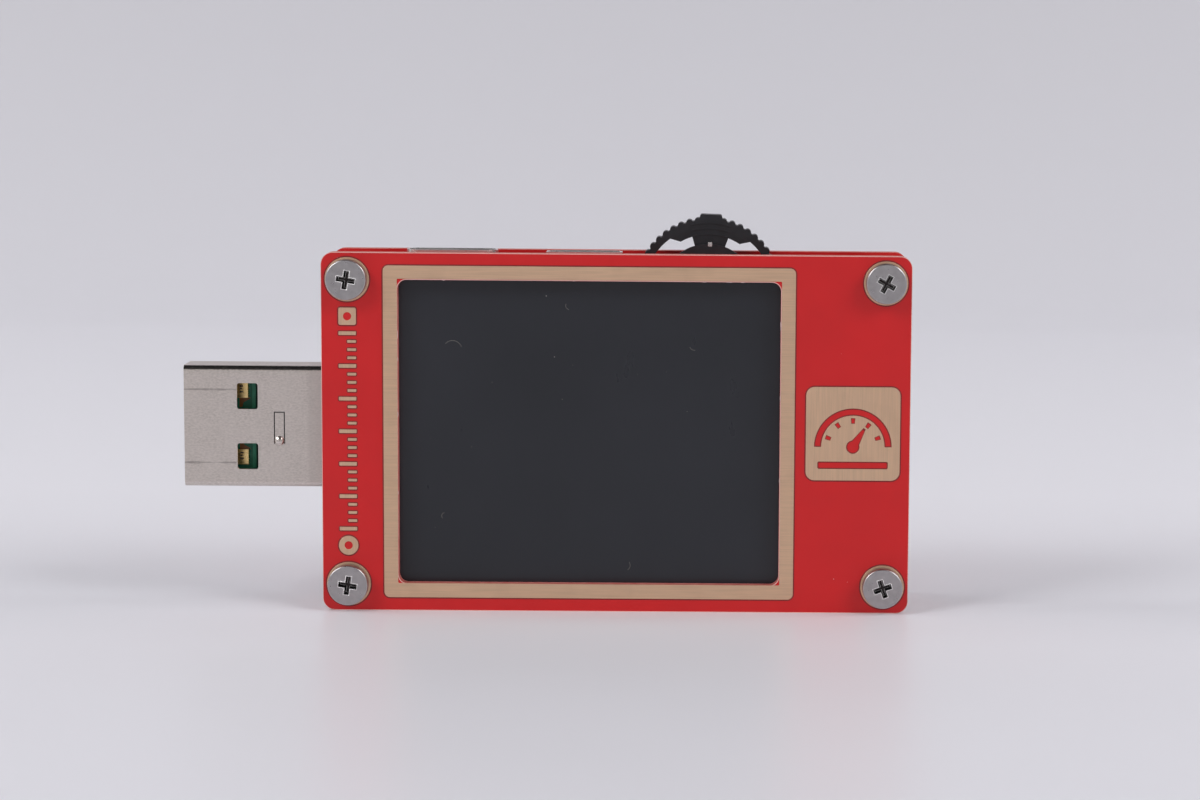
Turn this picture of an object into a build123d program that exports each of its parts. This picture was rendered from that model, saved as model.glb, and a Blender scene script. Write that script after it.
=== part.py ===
from build123d import *
import os

# USB power meter: two red circuit-board panels stacked on a main board with
# brass standoffs. A USB-A plug leaves the left end, a USB-A socket opens at the
# right end, a USB-C and a micro-USB socket open at the top beside a toothed
# jog dial. Millimetres; X runs from the plug to the socket, the screen faces
# -Y and Z is up. The origin is under the middle of the whole object.

os.makedirs("parts", exist_ok=True)

# ---- driving dimensions ----
panel_length = 57.4
panel_height = 35.15
back_panel_drop = 0.2
panel_thickness = 1.2
panel_corner_radius = 1.2
stack_depth = 10.4
board_thickness = 1.2
board_inset = 0.3
plug_reach = 13.9
screw_inset_x = 2.55
screw_inset_z = 2.62

# USB-A plug and socket, from the USB standard
plug_width = 12.0
plug_depth = 4.5
plug_length = 19.0
plug_raise = 0.15
socket_width = 13.1
socket_depth = 5.7
socket_length = 14.0
shell_wall = 0.3

# between parts that move or mate
running_gap = 0.05

# ---- places worked out from them ----
panel_left = (plug_reach - panel_length) / 2
panel_right = panel_left + panel_length
panel_centre = (plug_reach / 2, panel_height / 2)
middle_z = panel_height / 2
plug_middle_z = middle_z + plug_raise
front_face = -stack_depth / 2
front_inner = front_face + panel_thickness
back_face = stack_depth / 2
back_inner = back_face - panel_thickness
board_front = -board_thickness / 2
board_back = board_thickness / 2
screw_span_x = panel_length - 2 * screw_inset_x
screw_span_z = panel_height - 2 * screw_inset_z


def facing_front(depth):
    """Sketch plane at a depth along Y: +X to the right, +Z up, normal to the front."""
    return Plane(origin=(0, depth, 0), x_dir=(1, 0, 0), z_dir=(0, -1, 0))


def save(builder, name):
    """Label a finished sub-part and write its STEP file."""
    builder.part.label = name
    export_step(builder.part, f"parts/{name}.step")


# ---- outer panels ----
window_offset = (-2.66, 0.02)
window_centre = (panel_centre[0] + window_offset[0], middle_z + window_offset[1])
window_width = 37.24
window_height = 29.84
window_corner_radius = 0.9
screw_hole_radius = 1.1

with BuildPart() as front_panel:
    with BuildSketch(facing_front(front_inner)):
        with Locations(panel_centre):
            RectangleRounded(panel_length, panel_height, panel_corner_radius)
            with GridLocations(screw_span_x, screw_span_z, 2, 2):
                Circle(screw_hole_radius, mode=Mode.SUBTRACT)
        with Locations(window_centre):
            RectangleRounded(
                window_width, window_height, window_corner_radius, mode=Mode.SUBTRACT
            )
    extrude(amount=panel_thickness)
save(front_panel, "front_panel")

back_panel_height = panel_height - back_panel_drop

with BuildPart() as back_panel:
    with BuildSketch(facing_front(back_face)):
        with Locations((panel_centre[0], back_panel_height / 2)):
            RectangleRounded(panel_length, back_panel_height, panel_corner_radius)
        with Locations(panel_centre):
            with GridLocations(screw_span_x, screw_span_z, 2, 2):
                Circle(screw_hole_radius, mode=Mode.SUBTRACT)
    extrude(amount=panel_thickness)
save(back_panel, "back_panel")

# ---- main board, notched for the plug and for the sunk USB-A socket ----
board_left = panel_left + board_inset
board_right = panel_right - board_inset
board_length = board_right - board_left
board_height = panel_height - 2 * board_inset
plug_tip = panel_left - plug_reach
plug_inner_end = plug_tip + plug_length
socket_inner_end = panel_right - socket_length
plug_notch_end = plug_inner_end + running_gap
socket_notch_end = socket_inner_end - running_gap
notch_room = 0.1

with BuildPart() as main_board:
    with BuildSketch(facing_front(board_back)):
        with Locations(panel_centre):
            RectangleRounded(board_length, board_height, panel_corner_radius)
            with GridLocations(screw_span_x, screw_span_z, 2, 2):
                Circle(screw_hole_radius, mode=Mode.SUBTRACT)
        with Locations((plug_notch_end, plug_middle_z)):
            Rectangle(
                panel_length, plug_width + notch_room,
                align=(Align.MAX, Align.CENTER), mode=Mode.SUBTRACT,
            )
        with Locations((socket_notch_end, middle_z)):
            Rectangle(
                panel_length, socket_width + notch_room,
                align=(Align.MIN, Align.CENTER), mode=Mode.SUBTRACT,
            )
    extrude(amount=board_thickness)
save(main_board, "main_board")

# ---- standoffs between the main board and each panel ----
standoff_radius = 2.1
thread_radius = 0.9
thread_bore_radius = 0.95
screw_bite = 1.8
bore_depth = 2.2
stud_bite = 1.2

with BuildPart() as front_standoffs:
    with BuildSketch(facing_front(board_front)):
        with Locations(panel_centre):
            with GridLocations(screw_span_x, screw_span_z, 2, 2):
                Circle(standoff_radius)
                Circle(thread_bore_radius, mode=Mode.SUBTRACT)
    extrude(amount=board_front - front_inner)
save(front_standoffs, "front_standoffs")

with BuildPart() as rear_standoffs:
    with BuildSketch(facing_front(back_inner)):
        with Locations(panel_centre):
            with GridLocations(screw_span_x, screw_span_z, 2, 2):
                Circle(standoff_radius)
    extrude(amount=back_inner - board_back)
    with BuildSketch(facing_front(back_inner)):
        with Locations(panel_centre):
            with GridLocations(screw_span_x, screw_span_z, 2, 2):
                Circle(thread_bore_radius)
    extrude(amount=bore_depth, mode=Mode.SUBTRACT)
    with BuildSketch(facing_front(board_back)):
        with Locations(panel_centre):
            with GridLocations(screw_span_x, screw_span_z, 2, 2):
                Circle(thread_radius)
    extrude(amount=board_thickness + stud_bite)
save(rear_standoffs, "rear_standoffs")

# ---- pan-head cross-recess screws, four on each face ----
head_radius = 1.97
head_height = 1.2
head_rounding = 0.14
recess_span = 1.8
recess_arm = 0.5
recess_depth = 0.8
recess_taper = 8
corner_sides = ((-1, 1), (1, 1), (-1, -1), (1, -1))
screw_spots = [
    (panel_centre[0] + side_x * screw_span_x / 2, middle_z + side_z * screw_span_z / 2)
    for side_x, side_z in corner_sides
]


def screw_set(face, outward, turns, name):
    """Four screws whose heads stand on a panel face; outward is +1 towards the front."""
    with BuildPart() as screws:
        with BuildSketch(facing_front(face)):
            with Locations(*screw_spots):
                Circle(head_radius)
        extrude(amount=outward * head_height)
        crown = screws.faces().filter_by(Axis.Y).sort_by(Axis.Y)
        crown = crown[:4] if outward > 0 else crown[-4:]
        fillet(crown.edges(), head_rounding)
        with BuildSketch(facing_front(face)):
            with Locations(*screw_spots):
                Circle(thread_radius)
        extrude(amount=-outward * (panel_thickness + screw_bite))
        for spot, turn in zip(screw_spots, turns):
            with BuildSketch(facing_front(face - outward * head_height)):
                with Locations(Location(spot, turn)):
                    Rectangle(recess_span, recess_arm)
                    Rectangle(recess_arm, recess_span)
            extrude(
                amount=-outward * recess_depth, taper=recess_taper, mode=Mode.SUBTRACT
            )
    save(screws, name)


screw_set(front_face, 1, (-9, -28, -9, 19), "front_screws")
screw_set(back_face, -1, (14, -35, 41, -6), "rear_screws")

# ---- screen module behind the window ----
module_offset = 5.4
module_left = panel_left + module_offset
module_length = 46.7
module_height = 34.0
module_depth = 2.1
module_wall = 0.75
module_floor = 0.3
module_corner_radius = 0.6
module_back = front_inner + module_depth
module_right = module_left + module_length
module_centre = (module_left + module_length / 2, middle_z)
glass_inset = module_wall + running_gap
glass_left = module_left + glass_inset
glass_height = module_height - 2 * glass_inset
front_glass_length = 39.6
rear_glass_length = module_length - 2 * glass_inset
polarizer_border = 0.4
polarizer_depth = 0.15
glass_depth = 0.45
guide_depth = 0.55
polarizer_face = front_inner + running_gap
front_glass_face = polarizer_face + polarizer_depth
rear_glass_face = front_glass_face + glass_depth
guide_face = rear_glass_face + glass_depth
reflector_face = guide_face + guide_depth
floor_face = module_back - module_floor

# the flexible ribbon leaves through a slot in the right wall
ribbon_low = 5.0
ribbon_width = 5.4
ribbon_thickness = 0.1
ribbon_slot_room = 0.2
ribbon_slot_width = ribbon_width + 2 * ribbon_slot_room

with BuildPart() as screen_backlight_frame:
    with BuildSketch(facing_front(module_back)):
        with Locations(module_centre):
            RectangleRounded(module_length, module_height, module_corner_radius)
    extrude(amount=module_depth)
    with BuildSketch(facing_front(floor_face)):
        with Locations(module_centre):
            Rectangle(module_length - 2 * module_wall, module_height - 2 * module_wall)
    extrude(amount=module_depth, mode=Mode.SUBTRACT)
    with BuildSketch(facing_front(floor_face)):
        with Locations((module_right - 2 * module_wall, ribbon_low - ribbon_slot_room)):
            Rectangle(3 * module_wall, ribbon_slot_width, align=(Align.MIN, Align.MIN))
    extrude(amount=module_depth, mode=Mode.SUBTRACT)
save(screen_backlight_frame, "screen_backlight_frame")


def screen_layer(name, left, length, height, face, depth):
    """A flat rectangular layer of the screen, from its front face backwards."""
    with BuildPart() as layer:
        with BuildSketch(facing_front(face)):
            with Locations((left, middle_z)):
                Rectangle(length, height, align=(Align.MIN, Align.CENTER))
        extrude(amount=-depth)
    save(layer, name)


screen_layer(
    "screen_polarizer", glass_left + polarizer_border,
    front_glass_length - 2 * polarizer_border, glass_height - 2 * polarizer_border,
    polarizer_face, polarizer_depth,
)
screen_layer(
    "screen_front_glass", glass_left, front_glass_length, glass_height,
    front_glass_face, glass_depth,
)
screen_layer(
    "screen_rear_glass", glass_left, rear_glass_length, glass_height,
    rear_glass_face, glass_depth,
)
screen_layer(
    "screen_light_guide", glass_left, rear_glass_length, glass_height,
    guide_face, guide_depth,
)
screen_layer(
    "screen_reflector", glass_left, rear_glass_length, glass_height,
    reflector_face, floor_face - reflector_face,
)

# driver chip bonded on the ledge that the rear glass leaves bare
ledge_left = glass_left + front_glass_length
driver_chip_offset = 1.0
driver_chip_length = 1.3
driver_chip_height = 17.0
driver_chip_depth = 0.35

with BuildPart() as screen_driver_chip:
    with BuildSketch(facing_front(rear_glass_face)):
        with Locations((ledge_left + driver_chip_offset, middle_z)):
            Rectangle(driver_chip_length, driver_chip_height, align=(Align.MIN, Align.CENTER))
    extrude(amount=driver_chip_depth)
save(screen_driver_chip, "screen_driver_chip")

# ribbon: bonded on the ledge, out through the slot, folded back behind the module
connector_depth = 0.9
connector_length = 3.0
connector_height = 5.8
connector_gap = 0.6
connector_left = socket_inner_end + connector_gap
connector_right = connector_left + connector_length
ribbon_bond = 3.2
ribbon_start = ledge_left + ribbon_bond
ribbon_fold = module_right + ribbon_thickness
ribbon_ramp_length = 1.4
ribbon_lead = 1.2
ribbon_ramp_low = connector_right + ribbon_lead
ribbon_ramp_high = ribbon_ramp_low + ribbon_ramp_length
ribbon_front_run = rear_glass_face - ribbon_thickness / 2
ribbon_back_run = module_back + ribbon_thickness / 2
ribbon_end_depth = board_front - connector_depth / 2

with BuildPart() as screen_ribbon:
    with BuildSketch(Plane.XY.offset(ribbon_low)):
        with BuildLine():
            run_out = Line((ribbon_start, ribbon_front_run), (ribbon_fold, ribbon_front_run))
            fold_reach = (ribbon_back_run - ribbon_front_run) / 2
            fold = ThreePointArc(
                run_out @ 1,
                (ribbon_fold + fold_reach, ribbon_front_run + fold_reach),
                (ribbon_fold, ribbon_back_run),
            )
            Polyline(
                fold @ 1,
                (ribbon_ramp_high, ribbon_back_run),
                (ribbon_ramp_low, ribbon_end_depth),
                (connector_right + running_gap, ribbon_end_depth),
            )
        trace(line_width=ribbon_thickness)
    extrude(amount=ribbon_width)
save(screen_ribbon, "screen_ribbon")

with BuildPart() as screen_ribbon_connector:
    with BuildSketch(facing_front(board_front)):
        with Locations((connector_left, ribbon_low + ribbon_width / 2)):
            Rectangle(connector_length, connector_height, align=(Align.MIN, Align.CENTER))
    extrude(amount=connector_depth)
save(screen_ribbon_connector, "screen_ribbon_connector")

# ---- USB-A plug ----
plug_bend_radius = 0.55
plug_inner_width = plug_width - 2 * shell_wall
plug_inner_depth = plug_depth - 2 * shell_wall
window_near = 5.2
plug_window_length = 2.05
plug_window_width = 2.58
plug_window_pitch = 5.95
plug_window_rounding = 0.25
latch_near = 8.8
latch_length = 1.1
latch_width = 3.2
latch_slit = 0.12
latch_slit_depth = 0.2
latch_drop = 0.13
dome_radius = 0.6
dome_rise = 0.24
plug_block_start = 12.2
tongue_start = 0.6
plug_tongue_width = 10.4
pocket_start = 6.75
pocket_length = 0.6
pocket_width = 3.0
pocket_depth = 0.5
ear_length = 1.9
ear_width = 1.4
ear_depth = 0.3
ear_overlap = 0.2
outer_strip_width = 1.5
inner_strip_width = 1.0
strip_depth = 0.2
outer_strip_pitch = 6.65
inner_strip_pitch = 2.0
tail_length = 1.6
tail_middle = board_back + strip_depth / 2

latch_middle_z = plug_middle_z - latch_drop

with BuildPart() as usb_a_plug_shell:
    with BuildSketch(Plane.YZ.offset(plug_tip)):
        with Locations((0, plug_middle_z)):
            RectangleRounded(plug_depth, plug_width, plug_bend_radius)
            RectangleRounded(
                plug_inner_depth, plug_inner_width, plug_bend_radius - shell_wall,
                mode=Mode.SUBTRACT,
            )
    extrude(amount=plug_length)
    with BuildSketch(facing_front(plug_depth)):
        with Locations((plug_tip + window_near + plug_window_length / 2, plug_middle_z)):
            with GridLocations(1, plug_window_pitch, 1, 2):
                RectangleRounded(
                    plug_window_length, plug_window_width, plug_window_rounding
                )
    extrude(amount=2 * plug_depth, mode=Mode.SUBTRACT)
    # a lanced latch strip, slit on three sides, that ends in a small dome
    with BuildSketch(facing_front(-plug_depth / 2)):
        with Locations((plug_tip + latch_near + latch_length / 2, latch_middle_z)):
            Rectangle(latch_length, latch_width)
        with Locations((plug_tip + latch_near + latch_length / 2, latch_middle_z - latch_slit)):
            Rectangle(latch_length - 2 * latch_slit, latch_width, mode=Mode.SUBTRACT)
    extrude(amount=-latch_slit_depth, mode=Mode.SUBTRACT)
    with Locations(
        (
            plug_tip + latch_near + latch_length / 2,
            -plug_depth / 2 - dome_rise + dome_radius,
            latch_middle_z - latch_width / 2 + dome_radius / 2,
        )
    ):
        Sphere(dome_radius)
    # the dome is hollow behind, so the inside of the shell stays clear
    with BuildSketch(Plane.YZ.offset(plug_tip)):
        with Locations((0, plug_middle_z)):
            RectangleRounded(
                plug_inner_depth, plug_inner_width, plug_bend_radius - shell_wall
            )
    extrude(amount=plug_length, mode=Mode.SUBTRACT)
    with BuildSketch(facing_front(board_back)):
        with Locations((plug_inner_end, plug_middle_z)):
            with GridLocations(1, plug_width + ear_width, 1, 2):
                Rectangle(ear_length, ear_width + ear_overlap, align=(Align.MAX, Align.CENTER))
        with Locations((plug_inner_end, plug_middle_z)):
            Rectangle(
                ear_length, plug_inner_width,
                align=(Align.MAX, Align.CENTER), mode=Mode.SUBTRACT,
            )
    extrude(amount=-ear_depth)
save(usb_a_plug_shell, "usb_a_plug_shell")


def contact_strips(starts, route, tail_end, centre_z, name):
    """Four USB-A contact strips along a route of (x, depth) points, then a tail on the board."""
    with BuildPart() as strips:
        for start, pitch, width in (
            (starts[0], outer_strip_pitch, outer_strip_width),
            (starts[1], inner_strip_pitch, inner_strip_width),
        ):
            for side in (-1, 1):
                low = centre_z + side * pitch / 2 - width / 2
                with BuildSketch(Plane.XY.offset(low)):
                    with BuildLine():
                        Polyline((start, route[0][1]), *route, (tail_end, tail_middle))
                    trace(line_width=strip_depth)
                extrude(amount=width)
    save(strips, name)
    return strips.part


# the outer pair of strips mates first, so it starts nearer to the mouth
plug_strip_starts = (1.3, 2.3)
plug_pad_end = plug_tip + 5.9
plug_pad_ramp = 0.35
plug_strips = contact_strips(
    [plug_tip + start for start in plug_strip_starts],
    (
        (plug_pad_end, -strip_depth / 2),
        (plug_pad_end + plug_pad_ramp, tail_middle),
        (plug_inner_end, tail_middle),
    ),
    plug_inner_end + tail_length, plug_middle_z, "usb_a_plug_contacts",
)

with BuildPart() as usb_a_plug_tongue:
    with BuildSketch(Plane.YZ.offset(plug_tip + tongue_start)):
        with Locations((plug_inner_depth / 4, plug_middle_z)):
            Rectangle(plug_inner_depth / 2, plug_tongue_width)
    extrude(amount=plug_length - tongue_start)
    with BuildSketch(Plane.YZ.offset(plug_tip + plug_block_start)):
        with Locations((0, plug_middle_z)):
            RectangleRounded(
                plug_inner_depth, plug_inner_width, plug_bend_radius - shell_wall
            )
    extrude(amount=plug_length - plug_block_start)
    # moulding pockets under the shell's windows
    with BuildSketch(facing_front(0)):
        with Locations((plug_tip + pocket_start, plug_middle_z)):
            with GridLocations(1, plug_window_pitch, 1, 2):
                Rectangle(
                    pocket_length, pocket_width, align=(Align.MIN, Align.CENTER)
                )
    extrude(amount=-pocket_depth, mode=Mode.SUBTRACT)
    add(plug_strips, mode=Mode.SUBTRACT)
save(usb_a_plug_tongue, "usb_a_plug_tongue")

# ---- USB-A socket, sunk in the main board so that it fits the stack ----
socket_front = module_back + 0.1
socket_middle_depth = socket_front + socket_depth / 2
socket_inner_width = socket_width - 2 * shell_wall
socket_inner_depth = socket_depth - 2 * shell_wall
socket_bend_radius = 0.5
socket_block_length = 4.2
socket_tongue_depth = 1.6
socket_tongue_offset = -1.05
socket_tongue_width = 11.1
socket_tongue_gap = 0.9
finger_length = 7.0
finger_width = 1.9
finger_slit = 0.35
finger_pitch = 6.0
finger_end = 1.6
socket_strip_starts = (2.2, 3.0)
socket_ramp_start = 0.9
socket_ramp_end = 1.4

with BuildPart() as usb_a_socket_shell:
    with BuildSketch(Plane.YZ.offset(socket_inner_end)):
        with Locations((socket_middle_depth, middle_z)):
            RectangleRounded(socket_depth, socket_width, socket_bend_radius)
            RectangleRounded(
                socket_inner_depth, socket_inner_width, socket_bend_radius - shell_wall,
                mode=Mode.SUBTRACT,
            )
    extrude(amount=socket_length)
    with BuildSketch(facing_front(2 * socket_depth)):
        with Locations((panel_right - finger_end, middle_z)):
            with GridLocations(1, finger_pitch, 1, 2):
                Rectangle(
                    finger_length, finger_width + 2 * finger_slit,
                    align=(Align.MAX, Align.CENTER),
                )
        with Locations((panel_right - finger_end - finger_slit, middle_z)):
            with GridLocations(1, finger_pitch, 1, 2):
                Rectangle(
                    finger_length, finger_width,
                    align=(Align.MAX, Align.CENTER), mode=Mode.SUBTRACT,
                )
    extrude(amount=4 * socket_depth, mode=Mode.SUBTRACT)
    with BuildSketch(facing_front(board_back)):
        with Locations((socket_inner_end, middle_z)):
            with GridLocations(1, socket_width + ear_width, 1, 2):
                Rectangle(ear_length, ear_width + ear_overlap, align=(Align.MIN, Align.CENTER))
        with Locations((socket_inner_end, middle_z)):
            Rectangle(
                ear_length, socket_inner_width,
                align=(Align.MIN, Align.CENTER), mode=Mode.SUBTRACT,
            )
    extrude(amount=-ear_depth)
save(usb_a_socket_shell, "usb_a_socket_shell")

socket_tongue_back = socket_middle_depth + socket_tongue_offset + socket_tongue_depth / 2
socket_strips = contact_strips(
    [panel_right - start for start in socket_strip_starts],
    (
        (socket_inner_end + socket_ramp_end, socket_tongue_back + strip_depth / 2),
        (socket_inner_end + socket_ramp_start, tail_middle),
        (socket_inner_end, tail_middle),
    ),
    socket_inner_end - tail_length, middle_z, "usb_a_socket_contacts",
)

with BuildPart() as usb_a_socket_tongue:
    with BuildSketch(Plane.YZ.offset(socket_inner_end)):
        with Locations((socket_middle_depth, middle_z)):
            RectangleRounded(
                socket_inner_depth, socket_inner_width, socket_bend_radius - shell_wall
            )
    extrude(amount=socket_block_length)
    with BuildSketch(Plane.YZ.offset(socket_inner_end + socket_block_length)):
        with Locations((socket_middle_depth + socket_tongue_offset, middle_z)):
            Rectangle(socket_tongue_depth, socket_tongue_width)
    extrude(amount=socket_length - socket_block_length - socket_tongue_gap)
    add(socket_strips, mode=Mode.SUBTRACT)
save(usb_a_socket_tongue, "usb_a_socket_tongue")

# ---- USB-C socket at the top ----
type_c_offset = -16.55
type_c_centre_x = panel_centre[0] + type_c_offset
type_c_top = panel_height - 0.08
type_c_width = 9.0
type_c_depth = 3.2
type_c_length = 7.4
type_c_corner = 1.3
type_c_wall = 0.25
type_c_middle_depth = board_back + type_c_depth / 2
type_c_block = 1.8
type_c_tongue_width = 6.7
type_c_tongue_depth = 0.7
type_c_tongue_gap = 0.6
pin_count = 12
pin_pitch = 0.5
pin_width = 0.26
pin_depth = 0.06
pin_length = 3.6
top_ear_length = 1.2
top_ear_width = 1.1
top_ear_depth = 0.25
type_c_ear_low = 1.2


def top_ears(centre_x, width, low):
    """Side tabs of a top socket, soldered on the rear of the main board."""
    with BuildPart(mode=Mode.PRIVATE) as ears:
        with BuildSketch(facing_front(board_back)):
            with Locations((centre_x, low)):
                Rectangle(
                    width + 2 * top_ear_width, top_ear_length, align=(Align.CENTER, Align.MIN)
                )
                Rectangle(
                    width - 2 * type_c_corner, top_ear_length,
                    align=(Align.CENTER, Align.MIN), mode=Mode.SUBTRACT,
                )
        extrude(amount=-top_ear_depth)
    return ears.part


type_c_ears = top_ears(type_c_centre_x, type_c_width, type_c_top - type_c_length + type_c_ear_low)

with BuildPart() as usb_c_socket_shell:
    add(type_c_ears)
    with BuildSketch(Plane.XY.offset(type_c_top - type_c_length)):
        with Locations((type_c_centre_x, type_c_middle_depth)):
            RectangleRounded(type_c_width, type_c_depth, type_c_corner)
    extrude(amount=type_c_length)
    with BuildSketch(Plane.XY.offset(type_c_top - type_c_length)):
        with Locations((type_c_centre_x, type_c_middle_depth)):
            RectangleRounded(
                type_c_width - 2 * type_c_wall, type_c_depth - 2 * type_c_wall,
                type_c_corner - type_c_wall,
            )
    extrude(amount=type_c_length, mode=Mode.SUBTRACT)
save(usb_c_socket_shell, "usb_c_socket_shell")

with BuildPart() as usb_c_socket_tongue:
    with BuildSketch(Plane.XY.offset(type_c_top - type_c_length)):
        with Locations((type_c_centre_x, type_c_middle_depth)):
            RectangleRounded(
                type_c_width - 2 * type_c_wall, type_c_depth - 2 * type_c_wall,
                type_c_corner - type_c_wall,
            )
    extrude(amount=type_c_block)
    with BuildSketch(Plane.XY.offset(type_c_top - type_c_length + type_c_block)):
        with Locations((type_c_centre_x, type_c_middle_depth)):
            Rectangle(type_c_tongue_width, type_c_tongue_depth)
    extrude(amount=type_c_length - type_c_block - type_c_tongue_gap)
save(usb_c_socket_tongue, "usb_c_socket_tongue")

with BuildPart() as usb_c_socket_contacts:
    pin_low = type_c_top - type_c_length + type_c_block
    with BuildSketch(Plane.XY.offset(pin_low)):
        with Locations((type_c_centre_x, type_c_middle_depth)):
            with GridLocations(pin_pitch, type_c_tongue_depth + pin_depth, pin_count, 2):
                Rectangle(pin_width, pin_depth)
    extrude(amount=pin_length)
save(usb_c_socket_contacts, "usb_c_socket_contacts")

# ---- micro-USB socket at the top ----
micro_offset = -3.44
micro_centre_x = panel_centre[0] + micro_offset
micro_top = panel_height - 0.18
micro_width = 7.5
micro_depth = 2.7
micro_length = 5.4
micro_wall = 0.25
micro_slope = 0.9
micro_middle_depth = board_back + micro_depth / 2
micro_block = 1.4
micro_tongue_width = 3.8
micro_tongue_depth = 0.6
micro_tongue_gap = 0.7
micro_pin_count = 5
micro_pin_pitch = 0.65
micro_pin_length = 2.6
micro_ear_low = 0.8


def micro_outline(inset):
    """Cross-section of the micro-USB shell, narrower on the side away from the board."""
    half = micro_width / 2 - inset
    near = board_back + inset
    far = board_back + micro_depth - inset
    shoulder = micro_slope * (1 - inset / micro_depth)
    with BuildSketch(mode=Mode.PRIVATE) as outline:
        with BuildLine():
            Polyline(
                (micro_centre_x - half, near),
                (micro_centre_x + half, near),
                (micro_centre_x + half, far - shoulder),
                (micro_centre_x + half - shoulder, far),
                (micro_centre_x - half + shoulder, far),
                (micro_centre_x - half, far - shoulder),
                close=True,
            )
        make_face()
    return outline.sketch


micro_ears = top_ears(micro_centre_x, micro_width, micro_top - micro_length + micro_ear_low)
micro_outside = micro_outline(0)
micro_inside = micro_outline(micro_wall)

with BuildPart() as micro_usb_socket_shell:
    add(micro_ears)
    with BuildSketch(Plane.XY.offset(micro_top - micro_length)):
        add(micro_outside)
    extrude(amount=micro_length)
    with BuildSketch(Plane.XY.offset(micro_top - micro_length)):
        add(micro_inside)
    extrude(amount=micro_length, mode=Mode.SUBTRACT)
save(micro_usb_socket_shell, "micro_usb_socket_shell")

with BuildPart() as micro_usb_socket_tongue:
    with BuildSketch(Plane.XY.offset(micro_top - micro_length)):
        add(micro_inside)
    extrude(amount=micro_block)
    with BuildSketch(Plane.XY.offset(micro_top - micro_length + micro_block)):
        with Locations((micro_centre_x, micro_middle_depth)):
            Rectangle(micro_tongue_width, micro_tongue_depth)
    extrude(amount=micro_length - micro_block - micro_tongue_gap)
save(micro_usb_socket_tongue, "micro_usb_socket_tongue")

with BuildPart() as micro_usb_socket_contacts:
    with BuildSketch(Plane.XY.offset(micro_top - micro_length + micro_block)):
        with Locations(
            (micro_centre_x, micro_middle_depth + (micro_tongue_depth + pin_depth) / 2)
        ):
            with GridLocations(micro_pin_pitch, 1, micro_pin_count, 1):
                Rectangle(pin_width, pin_depth)
    extrude(amount=micro_pin_length)
save(micro_usb_socket_contacts, "micro_usb_socket_contacts")

# ---- jog dial: a toothed wheel that turns on a carriage that presses down ----
dial_offset = (8.835, 13.55)
dial_x = panel_centre[0] + dial_offset[0]
dial_z = middle_z + dial_offset[1]
dial_spot = (dial_x, dial_z)
base_face_depth = 0.45
base_radius = 4.72
foot_half_width = 4.2
foot_drop = 5.0
rail_gap = 2.55
rail_width = 0.5
rail_top = 0.5
spring_wall = 0.4
base_back = board_back + base_face_depth
carriage_front = base_back + running_gap
carriage_reach = 0.5
carriage_back = base_back + carriage_reach
wheel_front = carriage_front
wheel_depth = 2.0
wheel_back = wheel_front + wheel_depth
hub_front = carriage_back + running_gap
pin_half = 0.2
pin_rise = 4.49
pin_offset = 0.16

with BuildPart() as dial_base:
    with BuildSketch(facing_front(base_back)):
        with Locations(dial_spot):
            Circle(base_radius)
            Rectangle(2 * foot_half_width, foot_drop, align=(Align.CENTER, Align.MAX))
        with Locations((dial_x + pin_offset, dial_z + pin_rise)):
            Rectangle(
                2 * pin_half, 2 * pin_half,
                align=(Align.CENTER, Align.MIN), mode=Mode.SUBTRACT,
            )
    extrude(amount=base_face_depth)
    with BuildSketch(facing_front(base_back)):
        for side in (-1, 1):
            with Locations((dial_x + side * (rail_gap + rail_width / 2), dial_z + rail_top)):
                Rectangle(rail_width, foot_drop + rail_top, align=(Align.CENTER, Align.MAX))
        with Locations((dial_x, dial_z - foot_drop)):
            Rectangle(2 * rail_gap, spring_wall, align=(Align.CENTER, Align.MIN))
    extrude(amount=-(carriage_back - base_back))
save(dial_base, "dial_base")

with BuildPart() as dial_index_pin:
    with BuildSketch(facing_front(base_back)):
        with Locations((dial_x + pin_offset, dial_z + pin_rise)):
            Rectangle(2 * pin_half, 2 * pin_half, align=(Align.CENTER, Align.MIN))
    extrude(amount=base_face_depth)
save(dial_index_pin, "dial_index_pin")

carriage_half_width = rail_gap - running_gap
carriage_top = 1.3
carriage_drop = 3.4
post_radius = 1.2

with BuildPart() as dial_carriage:
    with BuildSketch(facing_front(carriage_back)):
        with Locations((dial_x, dial_z + carriage_top)):
            Rectangle(
                2 * carriage_half_width, carriage_top + carriage_drop,
                align=(Align.CENTER, Align.MAX),
            )
    extrude(amount=carriage_back - carriage_front)
    with BuildSketch(facing_front(carriage_back)):
        with Locations(dial_spot):
            Circle(post_radius)
    extrude(amount=-(wheel_back - running_gap - carriage_back))
save(dial_carriage, "dial_carriage")

# leaf spring that lifts the carriage; it flattens when the dial is pressed
leaf_wire = 0.12
leaf_margin = 0.2
leaf_bends = 9
leaf_low = dial_z - foot_drop + spring_wall + leaf_margin
leaf_high = dial_z - carriage_drop - leaf_margin
leaf_half_width = 2.0

with BuildPart() as dial_return_spring:
    with BuildSketch(facing_front(carriage_back)):
        with BuildLine():
            leaf_step = 2 * leaf_half_width / (leaf_bends - 1)
            Polyline(
                [
                    (dial_x - leaf_half_width + bend * leaf_step, (leaf_low, leaf_high)[bend % 2])
                    for bend in range(leaf_bends)
                ]
            )
        trace(line_width=leaf_wire)
    extrude(amount=carriage_back - carriage_front)
save(dial_return_spring, "dial_return_spring")

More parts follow.
